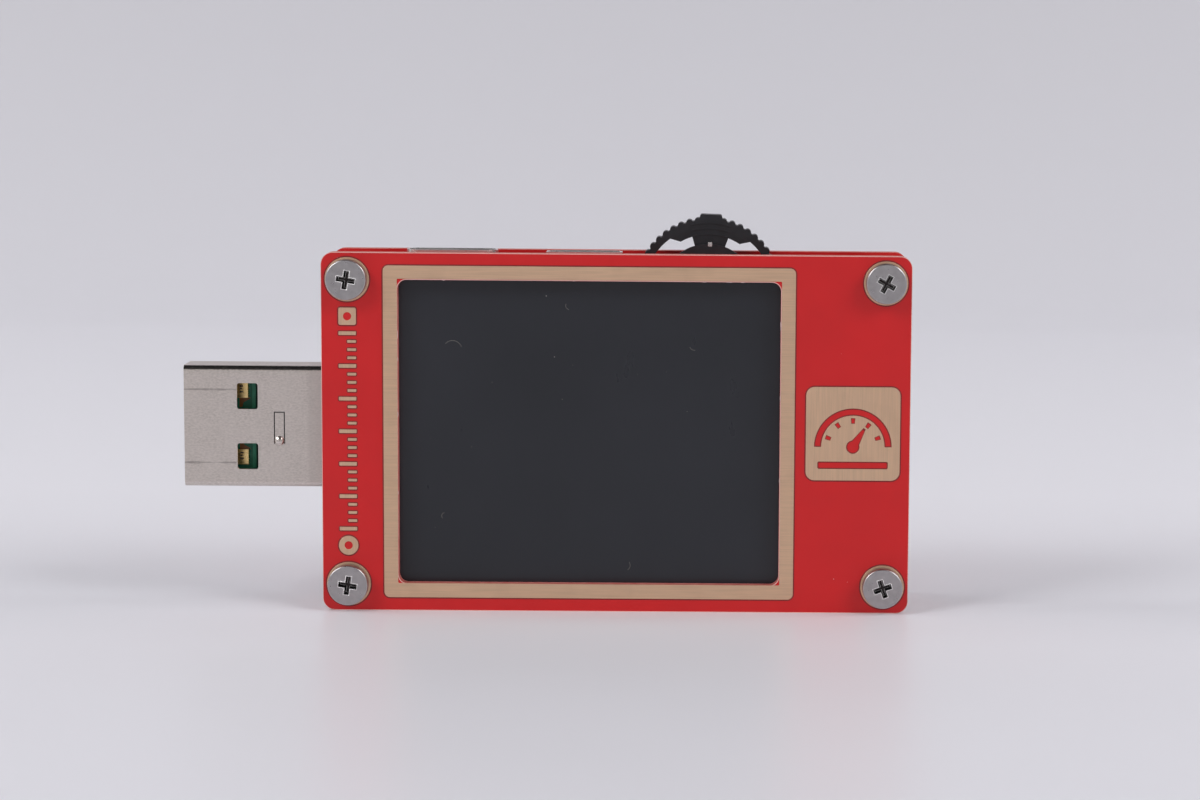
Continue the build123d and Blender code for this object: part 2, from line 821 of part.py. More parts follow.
rim_root_radius = 7.1
rim_inner_radius = 6.42
web_radius = 5.62
rim_end_angle = 76
web_end_angle = 31.3
ramp_end_angle = 38
tooth_radius = 0.34
tooth_centre_radius = 7.0
tooth_first_angle = 10.4
tooth_pitch_angle = 7.1
teeth_per_side = 10
spoke_outer_half = 1.81
spoke_outer_height = 5.41
spoke_inner_half = 1.07
spoke_inner_height = 3.14
nub_height = 7.6
nub_base_half = 1.18
nub_top_half = 1.02
nub_rounding = 0.16
rest_turn = 1.9
hub_radius = 3.4
relief_radius = 3.65
spring_groove_radius = 2.2
spring_wire_radius = 0.16
groove_half_width = 1.5 * spring_wire_radius


def dial_point(radius, angle):
    """Point of the dial at an angle from straight up, positive to the right."""
    return Vector(dial_x, dial_z) + Vector(0, radius).rotate(Axis.Z, -angle)


with BuildPart() as dial_wheel:
    with BuildSketch(facing_front(wheel_back)):
        # rim and web, as one outline about the dial's centre
        with BuildLine():
            outer = CenterArc(dial_spot, rim_root_radius, 90 - rim_end_angle, 2 * rim_end_angle)
            left_inner = CenterArc(
                dial_spot, rim_inner_radius, 90 + ramp_end_angle, rim_end_angle - ramp_end_angle
            )
            web = CenterArc(dial_spot, web_radius, 90 - web_end_angle, 2 * web_end_angle)
            right_inner = CenterArc(
                dial_spot, rim_inner_radius, 90 - rim_end_angle, rim_end_angle - ramp_end_angle
            )
            Line(outer @ 1, left_inner @ 1)
            Line(left_inner @ 0, web @ 1)
            Line(web @ 0, right_inner @ 1)
            Line(right_inner @ 0, outer @ 0)
        make_face()
        # rounded teeth on both sides of the nub
        for tooth in range(teeth_per_side):
            turn = tooth_first_angle + tooth * tooth_pitch_angle
            if turn < rim_end_angle:
                with Locations(
                    dial_point(tooth_centre_radius, turn), dial_point(tooth_centre_radius, -turn)
                ):
                    Circle(tooth_radius)
        # finger nub and tapered spoke
        with BuildLine():
            Polyline(
                (dial_x - nub_top_half, dial_z + nub_height),
                (dial_x + nub_top_half, dial_z + nub_height),
                (dial_x + nub_base_half, dial_z + rim_root_radius),
                (dial_x + nub_base_half, dial_z + spoke_outer_height),
                (dial_x - nub_base_half, dial_z + spoke_outer_height),
                (dial_x - nub_base_half, dial_z + rim_root_radius),
                close=True,
            )
        make_face()
        with BuildLine():
            Polyline(
                (dial_x - spoke_outer_half, dial_z + web_radius),
                (dial_x - spoke_outer_half, dial_z + spoke_outer_height),
                (dial_x - spoke_inner_half, dial_z + spoke_inner_height),
                (dial_x + spoke_inner_half, dial_z + spoke_inner_height),
                (dial_x + spoke_outer_half, dial_z + spoke_outer_height),
                (dial_x + spoke_outer_half, dial_z + web_radius),
                close=True,
            )
        make_face()
    extrude(amount=wheel_depth)
    # the spoke is cut back where the carriage and its rails pass in front of it
    with BuildSketch(facing_front(hub_front)):
        with Locations(dial_spot):
            Circle(relief_radius)
    extrude(amount=hub_front - wheel_front, mode=Mode.SUBTRACT)
    with BuildSketch(facing_front(wheel_back)):
        with Locations(dial_spot):
            Circle(hub_radius)
    extrude(amount=wheel_back - hub_front)
    with BuildSketch(facing_front(wheel_back)):
        with Locations(dial_spot):
            Circle(spring_groove_radius + groove_half_width)
            Circle(spring_groove_radius - groove_half_width, mode=Mode.SUBTRACT)
    extrude(amount=2 * spring_wire_radius, mode=Mode.SUBTRACT)
    with BuildSketch(facing_front(wheel_back)):
        with Locations(dial_spot):
            Circle(post_radius + running_gap)
    extrude(amount=wheel_depth, mode=Mode.SUBTRACT)
    tip_edges = dial_wheel.edges().filter_by(Axis.Y).group_by(Axis.Z)[-1]
    fillet(tip_edges, nub_rounding)
# the wheel's spring lets it rest a little clockwise of upright
wheel_axis = Axis((dial_x, 0, dial_z), (0, 1, 0))
dial_wheel.part = dial_wheel.part.rotate(wheel_axis, rest_turn)
save(dial_wheel, "dial_wheel")

with BuildPart() as dial_centring_spring:
    with BuildSketch(facing_front(wheel_back)):
        with Locations(dial_spot):
            Circle(spring_groove_radius + spring_wire_radius)
            Circle(spring_groove_radius - spring_wire_radius, mode=Mode.SUBTRACT)
    extrude(amount=2 * spring_wire_radius)
save(dial_centring_spring, "dial_centring_spring")

# pressed metal cover that holds the wheel on the carriage
cover_radius = 4.3
cover_depth = 0.25
cover_front = wheel_back + running_gap
leg_width = 2.0
leg_low = -3.5
leg_inner = base_radius + running_gap
leg_foot = 0.7

with BuildPart() as dial_cover:
    with BuildSketch(facing_front(cover_front)):
        with Locations(dial_spot):
            Circle(cover_radius)
        with Locations((dial_x, dial_z + leg_low)):
            Rectangle(2 * (leg_inner + cover_depth), leg_width, align=(Align.CENTER, Align.MIN))
    extrude(amount=-cover_depth)
    with BuildSketch(facing_front(cover_front)):
        for side in (-1, 1):
            with Locations((dial_x + side * (leg_inner + cover_depth / 2), dial_z + leg_low)):
                Rectangle(cover_depth, leg_width, align=(Align.CENTER, Align.MIN))
    extrude(amount=cover_front - board_back)
    with BuildSketch(facing_front(board_back)):
        for side in (-1, 1):
            with Locations((dial_x + side * (leg_inner + leg_foot / 2), dial_z + leg_low)):
                Rectangle(leg_foot, leg_width, align=(Align.CENTER, Align.MIN))
    extrude(amount=-cover_depth)
save(dial_cover, "dial_cover")

terminal_count = 5
terminal_pitch = 1.6
terminal_width = 0.6
terminal_length = 1.2
terminal_depth = 0.2

with BuildPart() as dial_terminals:
    with BuildSketch(facing_front(board_back)):
        with Locations((dial_x, dial_z - foot_drop - terminal_length / 2)):
            with GridLocations(terminal_pitch, 1, terminal_count, 1):
                Rectangle(terminal_width, terminal_length)
    extrude(amount=-terminal_depth)
save(dial_terminals, "dial_terminals")

# ---- chips and small parts on the main board ----
# Each entry: name, face (-1 front, +1 rear), size along X, size along Z, height,
# and the spots of its pieces measured from the middle of the panels.
chip_parts = (
    ("microcontroller", -1, 7.0, 7.0, 0.85, ((-6.0, -3.0),)),
    ("flash_chip", 1, 4.0, 5.0, 1.6, ((-13.0, -3.5),)),
    ("shunt_resistor", 1, 3.2, 6.4, 0.7, ((10.0, -6.0),)),
    ("power_switches", 1, 5.0, 6.0, 1.0, ((4.0, -6.0), (-2.6, -6.0))),
    ("regulator_chip", 1, 3.0, 1.7, 1.1, ((-6.5, 3.4),)),
    ("inductor", 1, 4.0, 4.0, 2.0, ((-10.0, 4.0),)),
    ("crystal", -1, 3.2, 2.5, 0.8, ((-13.5, -3.0),)),
    (
        "chip_capacitors", 1, 2.0, 1.25, 0.9,
        ((-14.5, 4.6), (-14.5, 2.8), (-2.0, 3.6), (0.6, 3.6), (10.5, 0.4), (-8.6, -13.6),
         (-8.6, -15.2), (14.6, -9.6)),
    ),
    (
        "chip_resistors", 1, 1.6, 0.8, 0.45,
        ((-13.0, -13.2), (-15.4, -13.2), (-17.8, -13.2), (-13.0, -15.0), (-15.4, -15.0),
         (0.0, -13.0), (2.4, -13.0), (4.8, -13.0), (7.2, -13.0), (14.6, -12.0)),
    ),
)

for chip_name, face_side, chip_length, chip_height, chip_depth, chip_spots in chip_parts:
    with BuildPart() as chips:
        with BuildSketch(facing_front(face_side * board_thickness / 2)):
            with Locations(*[Vector(panel_centre) + Vector(spot) for spot in chip_spots]):
                Rectangle(chip_length, chip_height)
        extrude(amount=-face_side * chip_depth)
    save(chips, chip_name)
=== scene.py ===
import math
import random

import bpy
from mathutils import Matrix, Vector


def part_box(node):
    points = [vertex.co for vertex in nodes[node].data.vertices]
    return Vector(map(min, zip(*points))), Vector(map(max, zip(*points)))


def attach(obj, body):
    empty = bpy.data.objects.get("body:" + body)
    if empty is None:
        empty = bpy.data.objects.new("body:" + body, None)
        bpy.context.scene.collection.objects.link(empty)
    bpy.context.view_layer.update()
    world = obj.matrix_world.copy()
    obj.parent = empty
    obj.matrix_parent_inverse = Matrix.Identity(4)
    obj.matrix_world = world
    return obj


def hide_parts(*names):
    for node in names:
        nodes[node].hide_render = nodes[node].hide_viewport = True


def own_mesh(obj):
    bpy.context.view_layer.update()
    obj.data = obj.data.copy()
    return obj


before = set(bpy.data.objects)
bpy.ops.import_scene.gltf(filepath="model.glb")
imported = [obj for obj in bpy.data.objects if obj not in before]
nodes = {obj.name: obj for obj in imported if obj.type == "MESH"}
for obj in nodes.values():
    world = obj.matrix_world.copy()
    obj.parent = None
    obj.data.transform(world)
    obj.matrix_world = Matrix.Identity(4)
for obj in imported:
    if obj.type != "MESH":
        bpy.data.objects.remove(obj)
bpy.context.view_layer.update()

# Places are worked out from the boxes of the imported CAD nodes. This script adds the
# plated and printed details, solder and leads, a copy of the return spring, the materials,
# the studio and the camera. Lengths are in millimetres until they are handed to
# Blender in metres through MM, except in the studio and its lights, which use metres.

MM = 0.001


def box_mm(name):
    """Lowest and highest corner of a CAD node, in millimetres."""
    low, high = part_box(name)
    return Vector(low) / MM, Vector(high) / MM


panel_low, panel_high = box_mm("front_panel")
back_low, back_high = box_mm("back_panel")
board_high = box_mm("main_board")[1]
screws_low, screws_high = box_mm("front_screws")
plug_low, plug_high = box_mm("usb_a_plug_shell")
contact_low, contact_high = box_mm("usb_a_plug_contacts")
polarizer_low = box_mm("screen_polarizer")[0]
spring_low, spring_high = box_mm("dial_centring_spring")
wheel_low = box_mm("dial_wheel")[0]

# the latch stands out of the plug's front face, so its flat rear face gives the place
plug_front = -plug_high.y

panel_middle = (panel_low + panel_high) / 2
dial_middle = (spring_low + spring_high) / 2
screw_head_radius = 1.97
head_face = -screws_low.y
screw_reach_x = (screws_high.x - screws_low.x) / 2 - screw_head_radius
screw_reach_z = (screws_high.z - screws_low.z) / 2 - screw_head_radius
screw_spots = [
    (panel_middle.x + side_x * screw_reach_x, panel_middle.z + side_z * screw_reach_z)
    for side_x in (-1, 1)
    for side_z in (-1, 1)
]

# ---------------------------------------------------------------- shader helpers


def new_material(name, metallic=0.0, roughness=0.5, ior=1.5):
    """A node material with a Principled shader: (material, tree, shader)."""
    material = bpy.data.materials.new(name)
    material.use_nodes = True
    tree = material.node_tree
    shader = tree.nodes["Principled BSDF"]
    shader.inputs["Metallic"].default_value = metallic
    shader.inputs["Roughness"].default_value = roughness
    shader.inputs["IOR"].default_value = ior
    return material, tree, shader


def set_input(tree, socket, value):
    """Plug a socket, a colour or a number into an input."""
    if isinstance(value, bpy.types.NodeSocket):
        tree.links.new(value, socket)
    elif isinstance(value, tuple) and len(value) == 3 and len(socket.default_value) == 4:
        socket.default_value = (*value, 1.0)
    else:
        socket.default_value = value


def place(tree, stretch=(1, 1, 1)):
    """Object coordinates in millimetres, stretched along each axis."""
    coords = tree.nodes.new("ShaderNodeTexCoord")
    mapping = tree.nodes.new("ShaderNodeMapping")
    mapping.inputs["Scale"].default_value = [factor / MM for factor in stretch]
    tree.links.new(coords.outputs["Object"], mapping.inputs["Vector"])
    return mapping.outputs["Vector"]


def place_axes(tree):
    """The X, Y and Z object coordinates in millimetres, as three sockets."""
    split = tree.nodes.new("ShaderNodeSeparateXYZ")
    tree.links.new(place(tree), split.inputs[0])
    return split.outputs["X"], split.outputs["Y"], split.outputs["Z"]


def noise(tree, scale, detail=4, stretch=(1, 1, 1)):
    """Noise with about scale features per millimetre."""
    node = tree.nodes.new("ShaderNodeTexNoise")
    node.inputs["Scale"].default_value = scale
    node.inputs["Detail"].default_value = detail
    tree.links.new(place(tree, stretch), node.inputs["Vector"])
    return node.outputs["Fac"]


def remap(tree, value, low, high, out_low=0.0, out_high=1.0):
    """Clamped linear map from low..high to out_low..out_high."""
    node = tree.nodes.new("ShaderNodeMapRange")
    node.inputs["From Min"].default_value = low
    node.inputs["From Max"].default_value = high
    node.inputs["To Min"].default_value = out_low
    node.inputs["To Max"].default_value = out_high
    tree.links.new(value, node.inputs["Value"])
    return node.outputs["Result"]


def calculate(tree, operation, first, second=0.0):
    """One Math node on two sockets or numbers."""
    node = tree.nodes.new("ShaderNodeMath")
    node.operation = operation
    set_input(tree, node.inputs[0], first)
    set_input(tree, node.inputs[1], second)
    return node.outputs[0]


def specks(tree, scale, size):
    """Sparse round dots: 1 inside a dot and 0 outside; size is in dot spacings."""
    node = tree.nodes.new("ShaderNodeTexVoronoi")
    node.inputs["Scale"].default_value = scale
    tree.links.new(place(tree), node.inputs["Vector"])
    dots = remap(tree, node.outputs["Distance"], size * 0.5, size, 1, 0)
    chosen = calculate(tree, "GREATER_THAN", noise(tree, scale * 0.37, 2), 0.62)
    return calculate(tree, "MULTIPLY", dots, chosen)


def mix_colour(tree, factor, first, second):
    """Colour mix of two sockets or (r, g, b) values."""
    node = tree.nodes.new("ShaderNodeMix")
    node.data_type = "RGBA"
    factor_input, first_input, second_input = node.inputs[0], node.inputs[6], node.inputs[7]
    set_input(tree, factor_input, factor)
    set_input(tree, first_input, first)
    set_input(tree, second_input, second)
    return node.outputs[2]


def add_bump(tree, shader, height, strength, depth, normal=None):
    """Bump of a given depth in millimetres, over an earlier normal if there is one."""
    node = tree.nodes.new("ShaderNodeBump")
    node.inputs["Strength"].default_value = strength
    node.inputs["Distance"].default_value = depth * MM
    tree.links.new(height, node.inputs["Height"])
    if normal is not None:
        tree.links.new(normal, node.inputs["Normal"])
    tree.links.new(node.outputs["Normal"], shader.inputs["Normal"])
    return node.outputs["Normal"]


def facing_side(tree):
    """1 on faces that look along X or Z, and 0 on faces that look along Y."""
    coords = tree.nodes.new("ShaderNodeTexCoord")
    split = tree.nodes.new("ShaderNodeSeparateXYZ")
    tree.links.new(coords.outputs["Normal"], split.inputs[0])
    return remap(tree, calculate(tree, "ABSOLUTE", split.outputs["Y"]), 0.75, 0.55)


# edge mask for painted edge highlights on boards and metal, and for lighter edges on plastic
def sharp_edge_mask(tree, radius, low=0.02, high=0.12):
    """1 along sharp edges within a radius in millimetres, and 0 on flat faces."""
    bevel = tree.nodes.new("ShaderNodeBevel")
    bevel.samples = 6
    bevel.inputs["Radius"].default_value = radius * MM
    geometry = tree.nodes.new("ShaderNodeNewGeometry")
    dot = tree.nodes.new("ShaderNodeVectorMath")
    dot.operation = "DOT_PRODUCT"
    tree.links.new(bevel.outputs["Normal"], dot.inputs[0])
    tree.links.new(geometry.outputs["Normal"], dot.inputs[1])
    turned = calculate(tree, "SUBTRACT", 1.0, dot.outputs["Value"])
    return remap(tree, turned, low, high)


# ---------------------------------------------------------------- materials


def board_material(name, mask_colour, roughness):
    """Solder mask on the faces, cut glass-fibre laminate on the edges."""
    material, tree, shader = new_material(name, roughness=roughness, ior=1.5)
    cloudy = noise(tree, 0.25, 3)
    deep = tuple(channel * 0.93 for channel in mask_colour)
    mask = mix_colour(tree, remap(tree, cloudy, 0.3, 0.7), deep, mask_colour)
    dust = specks(tree, 0.9, 0.05)
    mask = mix_colour(tree, dust, mask, (0.75, 0.55, 0.52))
    fibres = noise(tree, 2.0, 5, (0.6, 6.0, 0.6))
    core = mix_colour(
        tree, remap(tree, fibres, 0.35, 0.65), (0.46, 0.055, 0.05), (0.66, 0.24, 0.20)
    )
    side = facing_side(tree)
    colour = mix_colour(tree, side, mask, core)
    # painted highlight: pale pink along the sharp edges of the board, in patches
    paler_edges = calculate(
        tree, "MULTIPLY", sharp_edge_mask(tree, 0.09), remap(tree, cloudy, 0.35, 0.6, 0.45, 0.95)
    )
    colour = mix_colour(tree, paler_edges, colour, (0.86, 0.56, 0.50))
    set_input(tree, shader.inputs["Base Color"], colour)
    smear = remap(tree, noise(tree, 0.5, 5), 0.3, 0.7, roughness - 0.05, roughness + 0.06)
    rough = calculate(tree, "ADD", smear, calculate(tree, "MULTIPLY", side, 0.25))
    set_input(tree, shader.inputs["Roughness"], rough)
    peel = add_bump(tree, shader, noise(tree, 5.0, 3), 0.10, 0.02)
    sawn = calculate(tree, "MULTIPLY", noise(tree, 9.0, 4, (1, 4, 1)), side)
    add_bump(tree, shader, sawn, 0.5, 0.04, peel)
    return material


def plating_material(name, colour, roughness, streak_axis="X"):
    """Gold plating over brushed copper, with fine streaks along one axis."""
    material, tree, shader = new_material(name, metallic=1.0, roughness=roughness)
    stretch = {"X": (0.05, 1.0, 1.6), "Z": (1.6, 1.0, 0.05)}[streak_axis]
    streaks = noise(tree, 5.0, 5, stretch)
    stains = noise(tree, 0.35, 4)
    darker = tuple(channel * 0.86 for channel in colour)
    tone = mix_colour(tree, remap(tree, streaks, 0.3, 0.7), darker, colour)
    tone = mix_colour(
        tree, remap(tree, stains, 0.5, 0.75, 0, 0.25), tone, tuple(c * 0.7 for c in colour)
    )
    set_input(tree, shader.inputs["Base Color"], tone)
    rough = remap(tree, streaks, 0.3, 0.7, roughness - 0.07, roughness + 0.08)
    set_input(tree, shader.inputs["Roughness"], rough)
    add_bump(tree, shader, streaks, 0.25, 0.012)
    return material


def steel_material(name, colour, roughness, grain_axis="X", scratches=0.3):
    """Nickel-plated or stainless sheet: rolled grain, small scratches, painted highlights on the
    edges.
    """
    material, tree, shader = new_material(name, metallic=1.0, roughness=roughness)
    stretch = {"X": (0.06, 2.0, 2.0), "Z": (2.0, 2.0, 0.06)}[grain_axis]
    grain = noise(tree, 4.0, 5, stretch)
    blotches = noise(tree, 0.4, 5)
    tone = mix_colour(
        tree, remap(tree, blotches, 0.35, 0.7), tuple(c * 0.9 for c in colour), colour
    )
    # painted highlight along the sharp edges
    edge = sharp_edge_mask(tree, 0.1)
    tone = mix_colour(tree, calculate(tree, "MULTIPLY", edge, 0.5), tone, (0.92, 0.91, 0.9))
    set_input(tree, shader.inputs["Base Color"], tone)
    rough = remap(tree, grain, 0.3, 0.7, roughness - 0.05, roughness + 0.08)
    set_input(tree, shader.inputs["Roughness"], rough)
    first = add_bump(tree, shader, grain, 0.08, 0.008)
    scratch = remap(tree, noise(tree, 1.1, 6, (0.12, 1.0, 3.5)), 0.62, 0.66)
    add_bump(tree, shader, scratch, scratches, 0.008, first)
    return material


def turned_screw_material():
    """Zinc-plated screw heads with fine lathe rings about each screw's axis."""
    material, tree, shader = new_material("screw_zinc", metallic=1.0, roughness=0.33)
    x, y, z = place_axes(tree)

    def from_axis(value, middle, reach):
        away = calculate(tree, "ABSOLUTE", calculate(tree, "SUBTRACT", value, middle))
        return calculate(tree, "SUBTRACT", away, reach)

    along_x = from_axis(x, panel_middle.x, screw_reach_x)
    along_z = from_axis(z, panel_middle.z, screw_reach_z)
    squares = calculate(
        tree, "ADD",
        calculate(tree, "MULTIPLY", along_x, along_x),
        calculate(tree, "MULTIPLY", along_z, along_z),
    )
    radius = calculate(tree, "SQRT", squares)
    rings = calculate(tree, "SINE", calculate(tree, "MULTIPLY", radius, 42.0))
    haze = noise(tree, 1.4, 5)
    tone = mix_colour(tree, remap(tree, haze, 0.3, 0.7), (0.39, 0.37, 0.375), (0.46, 0.44, 0.445))
    # painted shade inside the cross recess, which lies under the face of each head
    sunk = remap(tree, calculate(tree, "ABSOLUTE", y), head_face - 0.08, head_face - 0.22)
    recess_shade = calculate(tree, "MULTIPLY", sunk, calculate(tree, "LESS_THAN", radius, 1.1))
    tone = mix_colour(tree, recess_shade, tone, (0.035, 0.03, 0.03))
    # painted highlights along the edges of each head and its recess
    edge = sharp_edge_mask(tree, 0.09)
    tone = mix_colour(tree, calculate(tree, "MULTIPLY", edge, 0.85), tone, (0.95, 0.93, 0.91))
    set_input(tree, shader.inputs["Base Color"], tone)
    set_input(
        tree, shader.inputs["Roughness"], remap(tree, noise(tree, 3.0, 4), 0.3, 0.7, 0.26, 0.42)
    )
    first = add_bump(tree, shader, rings, 0.10, 0.010)
    add_bump(tree, shader, noise(tree, 6.0, 3), 0.15, 0.01, first)
    return material


def plastic_material(name, colour, roughness, grain=8.0, grain_depth=0.015, lift=1.35):
    """Moulded plastic with a fine grain, slight tone changes and rubbed edges."""
    material, tree, shader = new_material(name, roughness=roughness, ior=1.48)
    clouds = noise(tree, 0.8, 4)
    lighter = tuple(min(1.0, channel * lift + 0.004) for channel in colour)
    tone = mix_colour(tree, remap(tree, clouds, 0.3, 0.7), colour, lighter)
    paler_edges = calculate(tree, "MULTIPLY", sharp_edge_mask(tree, 0.08), 0.3)
    tone = mix_colour(tree, paler_edges, tone, tuple(min(1.0, c * 1.8 + 0.03) for c in colour))
    set_input(tree, shader.inputs["Base Color"], tone)
    rough = remap(tree, noise(tree, 2.5, 4), 0.3, 0.7, roughness - 0.06, roughness + 0.08)
    set_input(tree, shader.inputs["Roughness"], rough)
    add_bump(tree, shader, noise(tree, grain, 4), 0.3, grain_depth)
    return material


def screen_material():
    """Dark anti-glare polarizer with a soft haze, faint smears and dust."""
    material, tree, shader = new_material("screen_dark", roughness=0.3, ior=1.45)
    haze = noise(tree, 0.06, 2)
    tone = mix_colour(
        tree, remap(tree, haze, 0.3, 0.7), (0.0140, 0.0155, 0.0205), (0.0185, 0.0200, 0.0265)
    )
    dust = specks(tree, 0.55, 0.04)
    tone = mix_colour(tree, dust, tone, (0.30, 0.28, 0.27))
    set_input(tree, shader.inputs["Base Color"], tone)
    smear = noise(tree, 0.3, 5, (1.0, 1.0, 0.35))
    set_input(tree, shader.inputs["Roughness"], remap(tree, smear, 0.3, 0.75, 0.27, 0.38))
    add_bump(tree, shader, noise(tree, 14.0, 2), 0.05, 0.004)
    return material


def glass_material():
    """Edges of the glass plates, dark with a green cast."""
    material, tree, shader = new_material("glass_edge", roughness=0.12, ior=1.52)
    tone = mix_colour(
        tree, remap(tree, noise(tree, 0.5, 3), 0.3, 0.7), (0.015, 0.03, 0.028), (0.03, 0.05, 0.046)
    )
    set_input(tree, shader.inputs["Base Color"], tone)
    set_input(
        tree, shader.inputs["Roughness"], remap(tree, noise(tree, 3.0, 3), 0.3, 0.7, 0.1, 0.3)
    )
    return material


def plug_material():
    """Blasted nickel on the plug: grainy faces, smooth bends and rubbed insertion lines."""
    material, tree, shader = new_material("plug_nickel", metallic=1.0, roughness=0.36)
    x, _, z = place_axes(tree)
    coords = tree.nodes.new("ShaderNodeTexCoord")
    normal = tree.nodes.new("ShaderNodeSeparateXYZ")
    tree.links.new(coords.outputs["Normal"], normal.inputs[0])
    across = calculate(tree, "ABSOLUTE", normal.outputs["Y"])
    along = calculate(tree, "ABSOLUTE", normal.outputs["Z"])
    from_middle = calculate(
        tree, "ABSOLUTE", calculate(tree, "SUBTRACT", z, (plug_low.z + plug_high.z) / 2)
    )
    smooth = calculate(
        tree, "MULTIPLY", remap(tree, across, 0.985, 0.95), remap(tree, along, 0.985, 0.95)
    )
    smooth = calculate(tree, "MULTIPLY", smooth, remap(tree, from_middle, 4.9, 5.1, 0.35, 1))
    grain = noise(tree, 4.5, 3, (0.8, 1.0, 1.5))
    blotches = noise(tree, 0.5, 5)
    tone = mix_colour(
        tree, remap(tree, blotches, 0.35, 0.7), (0.58, 0.525, 0.485), (0.64, 0.58, 0.54)
    )
    tone = mix_colour(tree, remap(tree, grain, 0.35, 0.65), tone, (0.72, 0.655, 0.61))
    # the plug's colour is a little darker from about 12 mm behind its tip towards its root
    root = remap(tree, x, plug_low.x + 12.0, plug_low.x + 12.4, 0, 0.35)
    tone = mix_colour(tree, root, tone, (0.50, 0.45, 0.42))
    # two lines that a socket's springs rubbed between the tip and the windows
    drift = remap(tree, noise(tree, 0.5, 2), 0.3, 0.7, -0.06, 0.06)
    line = calculate(tree, "ABSOLUTE", calculate(tree, "SUBTRACT", from_middle, 3.62))
    line = calculate(tree, "ADD", line, drift)
    mark = remap(tree, line, 0.03, 0.10, 1, 0)
    near_tip = calculate(tree, "LESS_THAN", x, plug_low.x + 5.1)
    pressed = remap(tree, noise(tree, 1.2, 4), 0.25, 0.55, 0.35, 1)
    mask = calculate(tree, "MULTIPLY", calculate(tree, "MULTIPLY", mark, near_tip), pressed)
    tone = mix_colour(tree, calculate(tree, "MULTIPLY", mask, 0.55), tone, (0.22, 0.19, 0.18))
    # painted highlight along the sharp edges of the shell
    edge = calculate(tree, "MULTIPLY", sharp_edge_mask(tree, 0.07), 0.5)
    tone = mix_colour(tree, edge, tone, (0.93, 0.91, 0.89))
    set_input(tree, shader.inputs["Base Color"], tone)
    matt = remap(tree, grain, 0.3, 0.7, 0.32, 0.44)
    polish = calculate(tree, "MULTIPLY", smooth, -0.24)
    set_input(tree, shader.inputs["Roughness"], calculate(tree, "ADD", matt, polish))
    fine = calculate(tree, "MULTIPLY", grain, calculate(tree, "SUBTRACT", 1.0, smooth))
    add_bump(tree, shader, fine, 0.55, 0.02)
    return material


red_mask = board_material("red_solder_mask", (0.62, 0.005, 0.007), 0.42)
# darker copy of the red mask for the main board: painted shade between the panels
shaded_inner_mask = board_material("shaded_inner_red_mask", (0.46, 0.005, 0.007), 0.38)
gold_flat = plating_material("brushed_gold_flat", (0.80, 0.55, 0.375), 0.46, "X")
gold_upright = plating_material("brushed_gold_upright", (0.80, 0.55, 0.375), 0.46, "Z")
gold_contact = plating_material("contact_gold", (0.90, 0.66, 0.30), 0.24, "X")
plug_steel = plug_material()
socket_steel = steel_material("socket_steel", (0.78, 0.77, 0.76), 0.26, "X", 0.05)
spring_steel = steel_material("spring_wire", (0.55, 0.54, 0.53), 0.3, "X")
nickel_brass = steel_material("nickel_brass", (0.62, 0.59, 0.55), 0.27, "X")
tin = steel_material("solder_tin", (0.68, 0.68, 0.69), 0.26, "X")
screw_zinc = turned_screw_material()
dial_black = plastic_material("dial_black", (0.007, 0.007, 0.010), 0.46, 9.0, 0.02)
socket_black = plastic_material("socket_black", (0.012, 0.012, 0.013), 0.5)
chip_black = plastic_material("chip_epoxy", (0.022, 0.022, 0.024), 0.6, 12.0, 0.02)
insulator_green = plastic_material("insulator_green", (0.010, 0.15, 0.085), 0.45)
# darker and lighter copies of the green insulator: painted shade and painted light in the plug's
# windows
insulator_painted_shade = plastic_material("insulator_painted_shade", (0.002, 0.014, 0.010), 0.65)
insulator_painted_light = plastic_material("insulator_painted_light", (0.025, 0.27, 0.15), 0.4)
# amber tone for painted shadow in the plug's windows
amber_shadow = plastic_material("amber_shadow", (0.20, 0.075, 0.012), 0.35, 4.0, 0.004)
frame_white = plastic_material("frame_white", (0.62, 0.62, 0.60), 0.5, 6.0, 0.01, 1.1)
guide_clear = plastic_material("guide_clear", (0.55, 0.58, 0.57), 0.2, 3.0, 0.004, 1.1)
ribbon_amber = plastic_material("ribbon_amber", (0.45, 0.20, 0.04), 0.35, 4.0, 0.006)
capacitor_tan = plastic_material("capacitor_tan", (0.36, 0.24, 0.13), 0.5, 10.0, 0.01)
silicon_grey = plastic_material("silicon_grey", (0.07, 0.07, 0.085), 0.15, 3.0, 0.002)
mask_shade = plastic_material("mask_shade_red", (0.20, 0.006, 0.008), 0.5, 6.0, 0.005, 1.2)
laminate_pale = plastic_material("laminate_pale", (0.60, 0.40, 0.38), 0.6, 9.0, 0.01, 1.1)
edge_highlight_pink = plastic_material("edge_highlight_pink", (0.80, 0.46, 0.42), 0.5, 9.0, 0.004, 1.1)
# bright steel for the painted highlights round the screw recesses
rim_highlight = steel_material("rim_highlight", (0.90, 0.88, 0.87), 0.3, "X", 0.05)
lint_grey = plastic_material("lint_grey", (0.16, 0.15, 0.14), 0.8, 9.0, 0.005, 1.1)
painted_shade_dark = plastic_material("painted_shade_dark", (0.035, 0.028, 0.025), 0.6, 6.0, 0.005, 1.1)
screen_dark = screen_material()
glass_edge = glass_material()

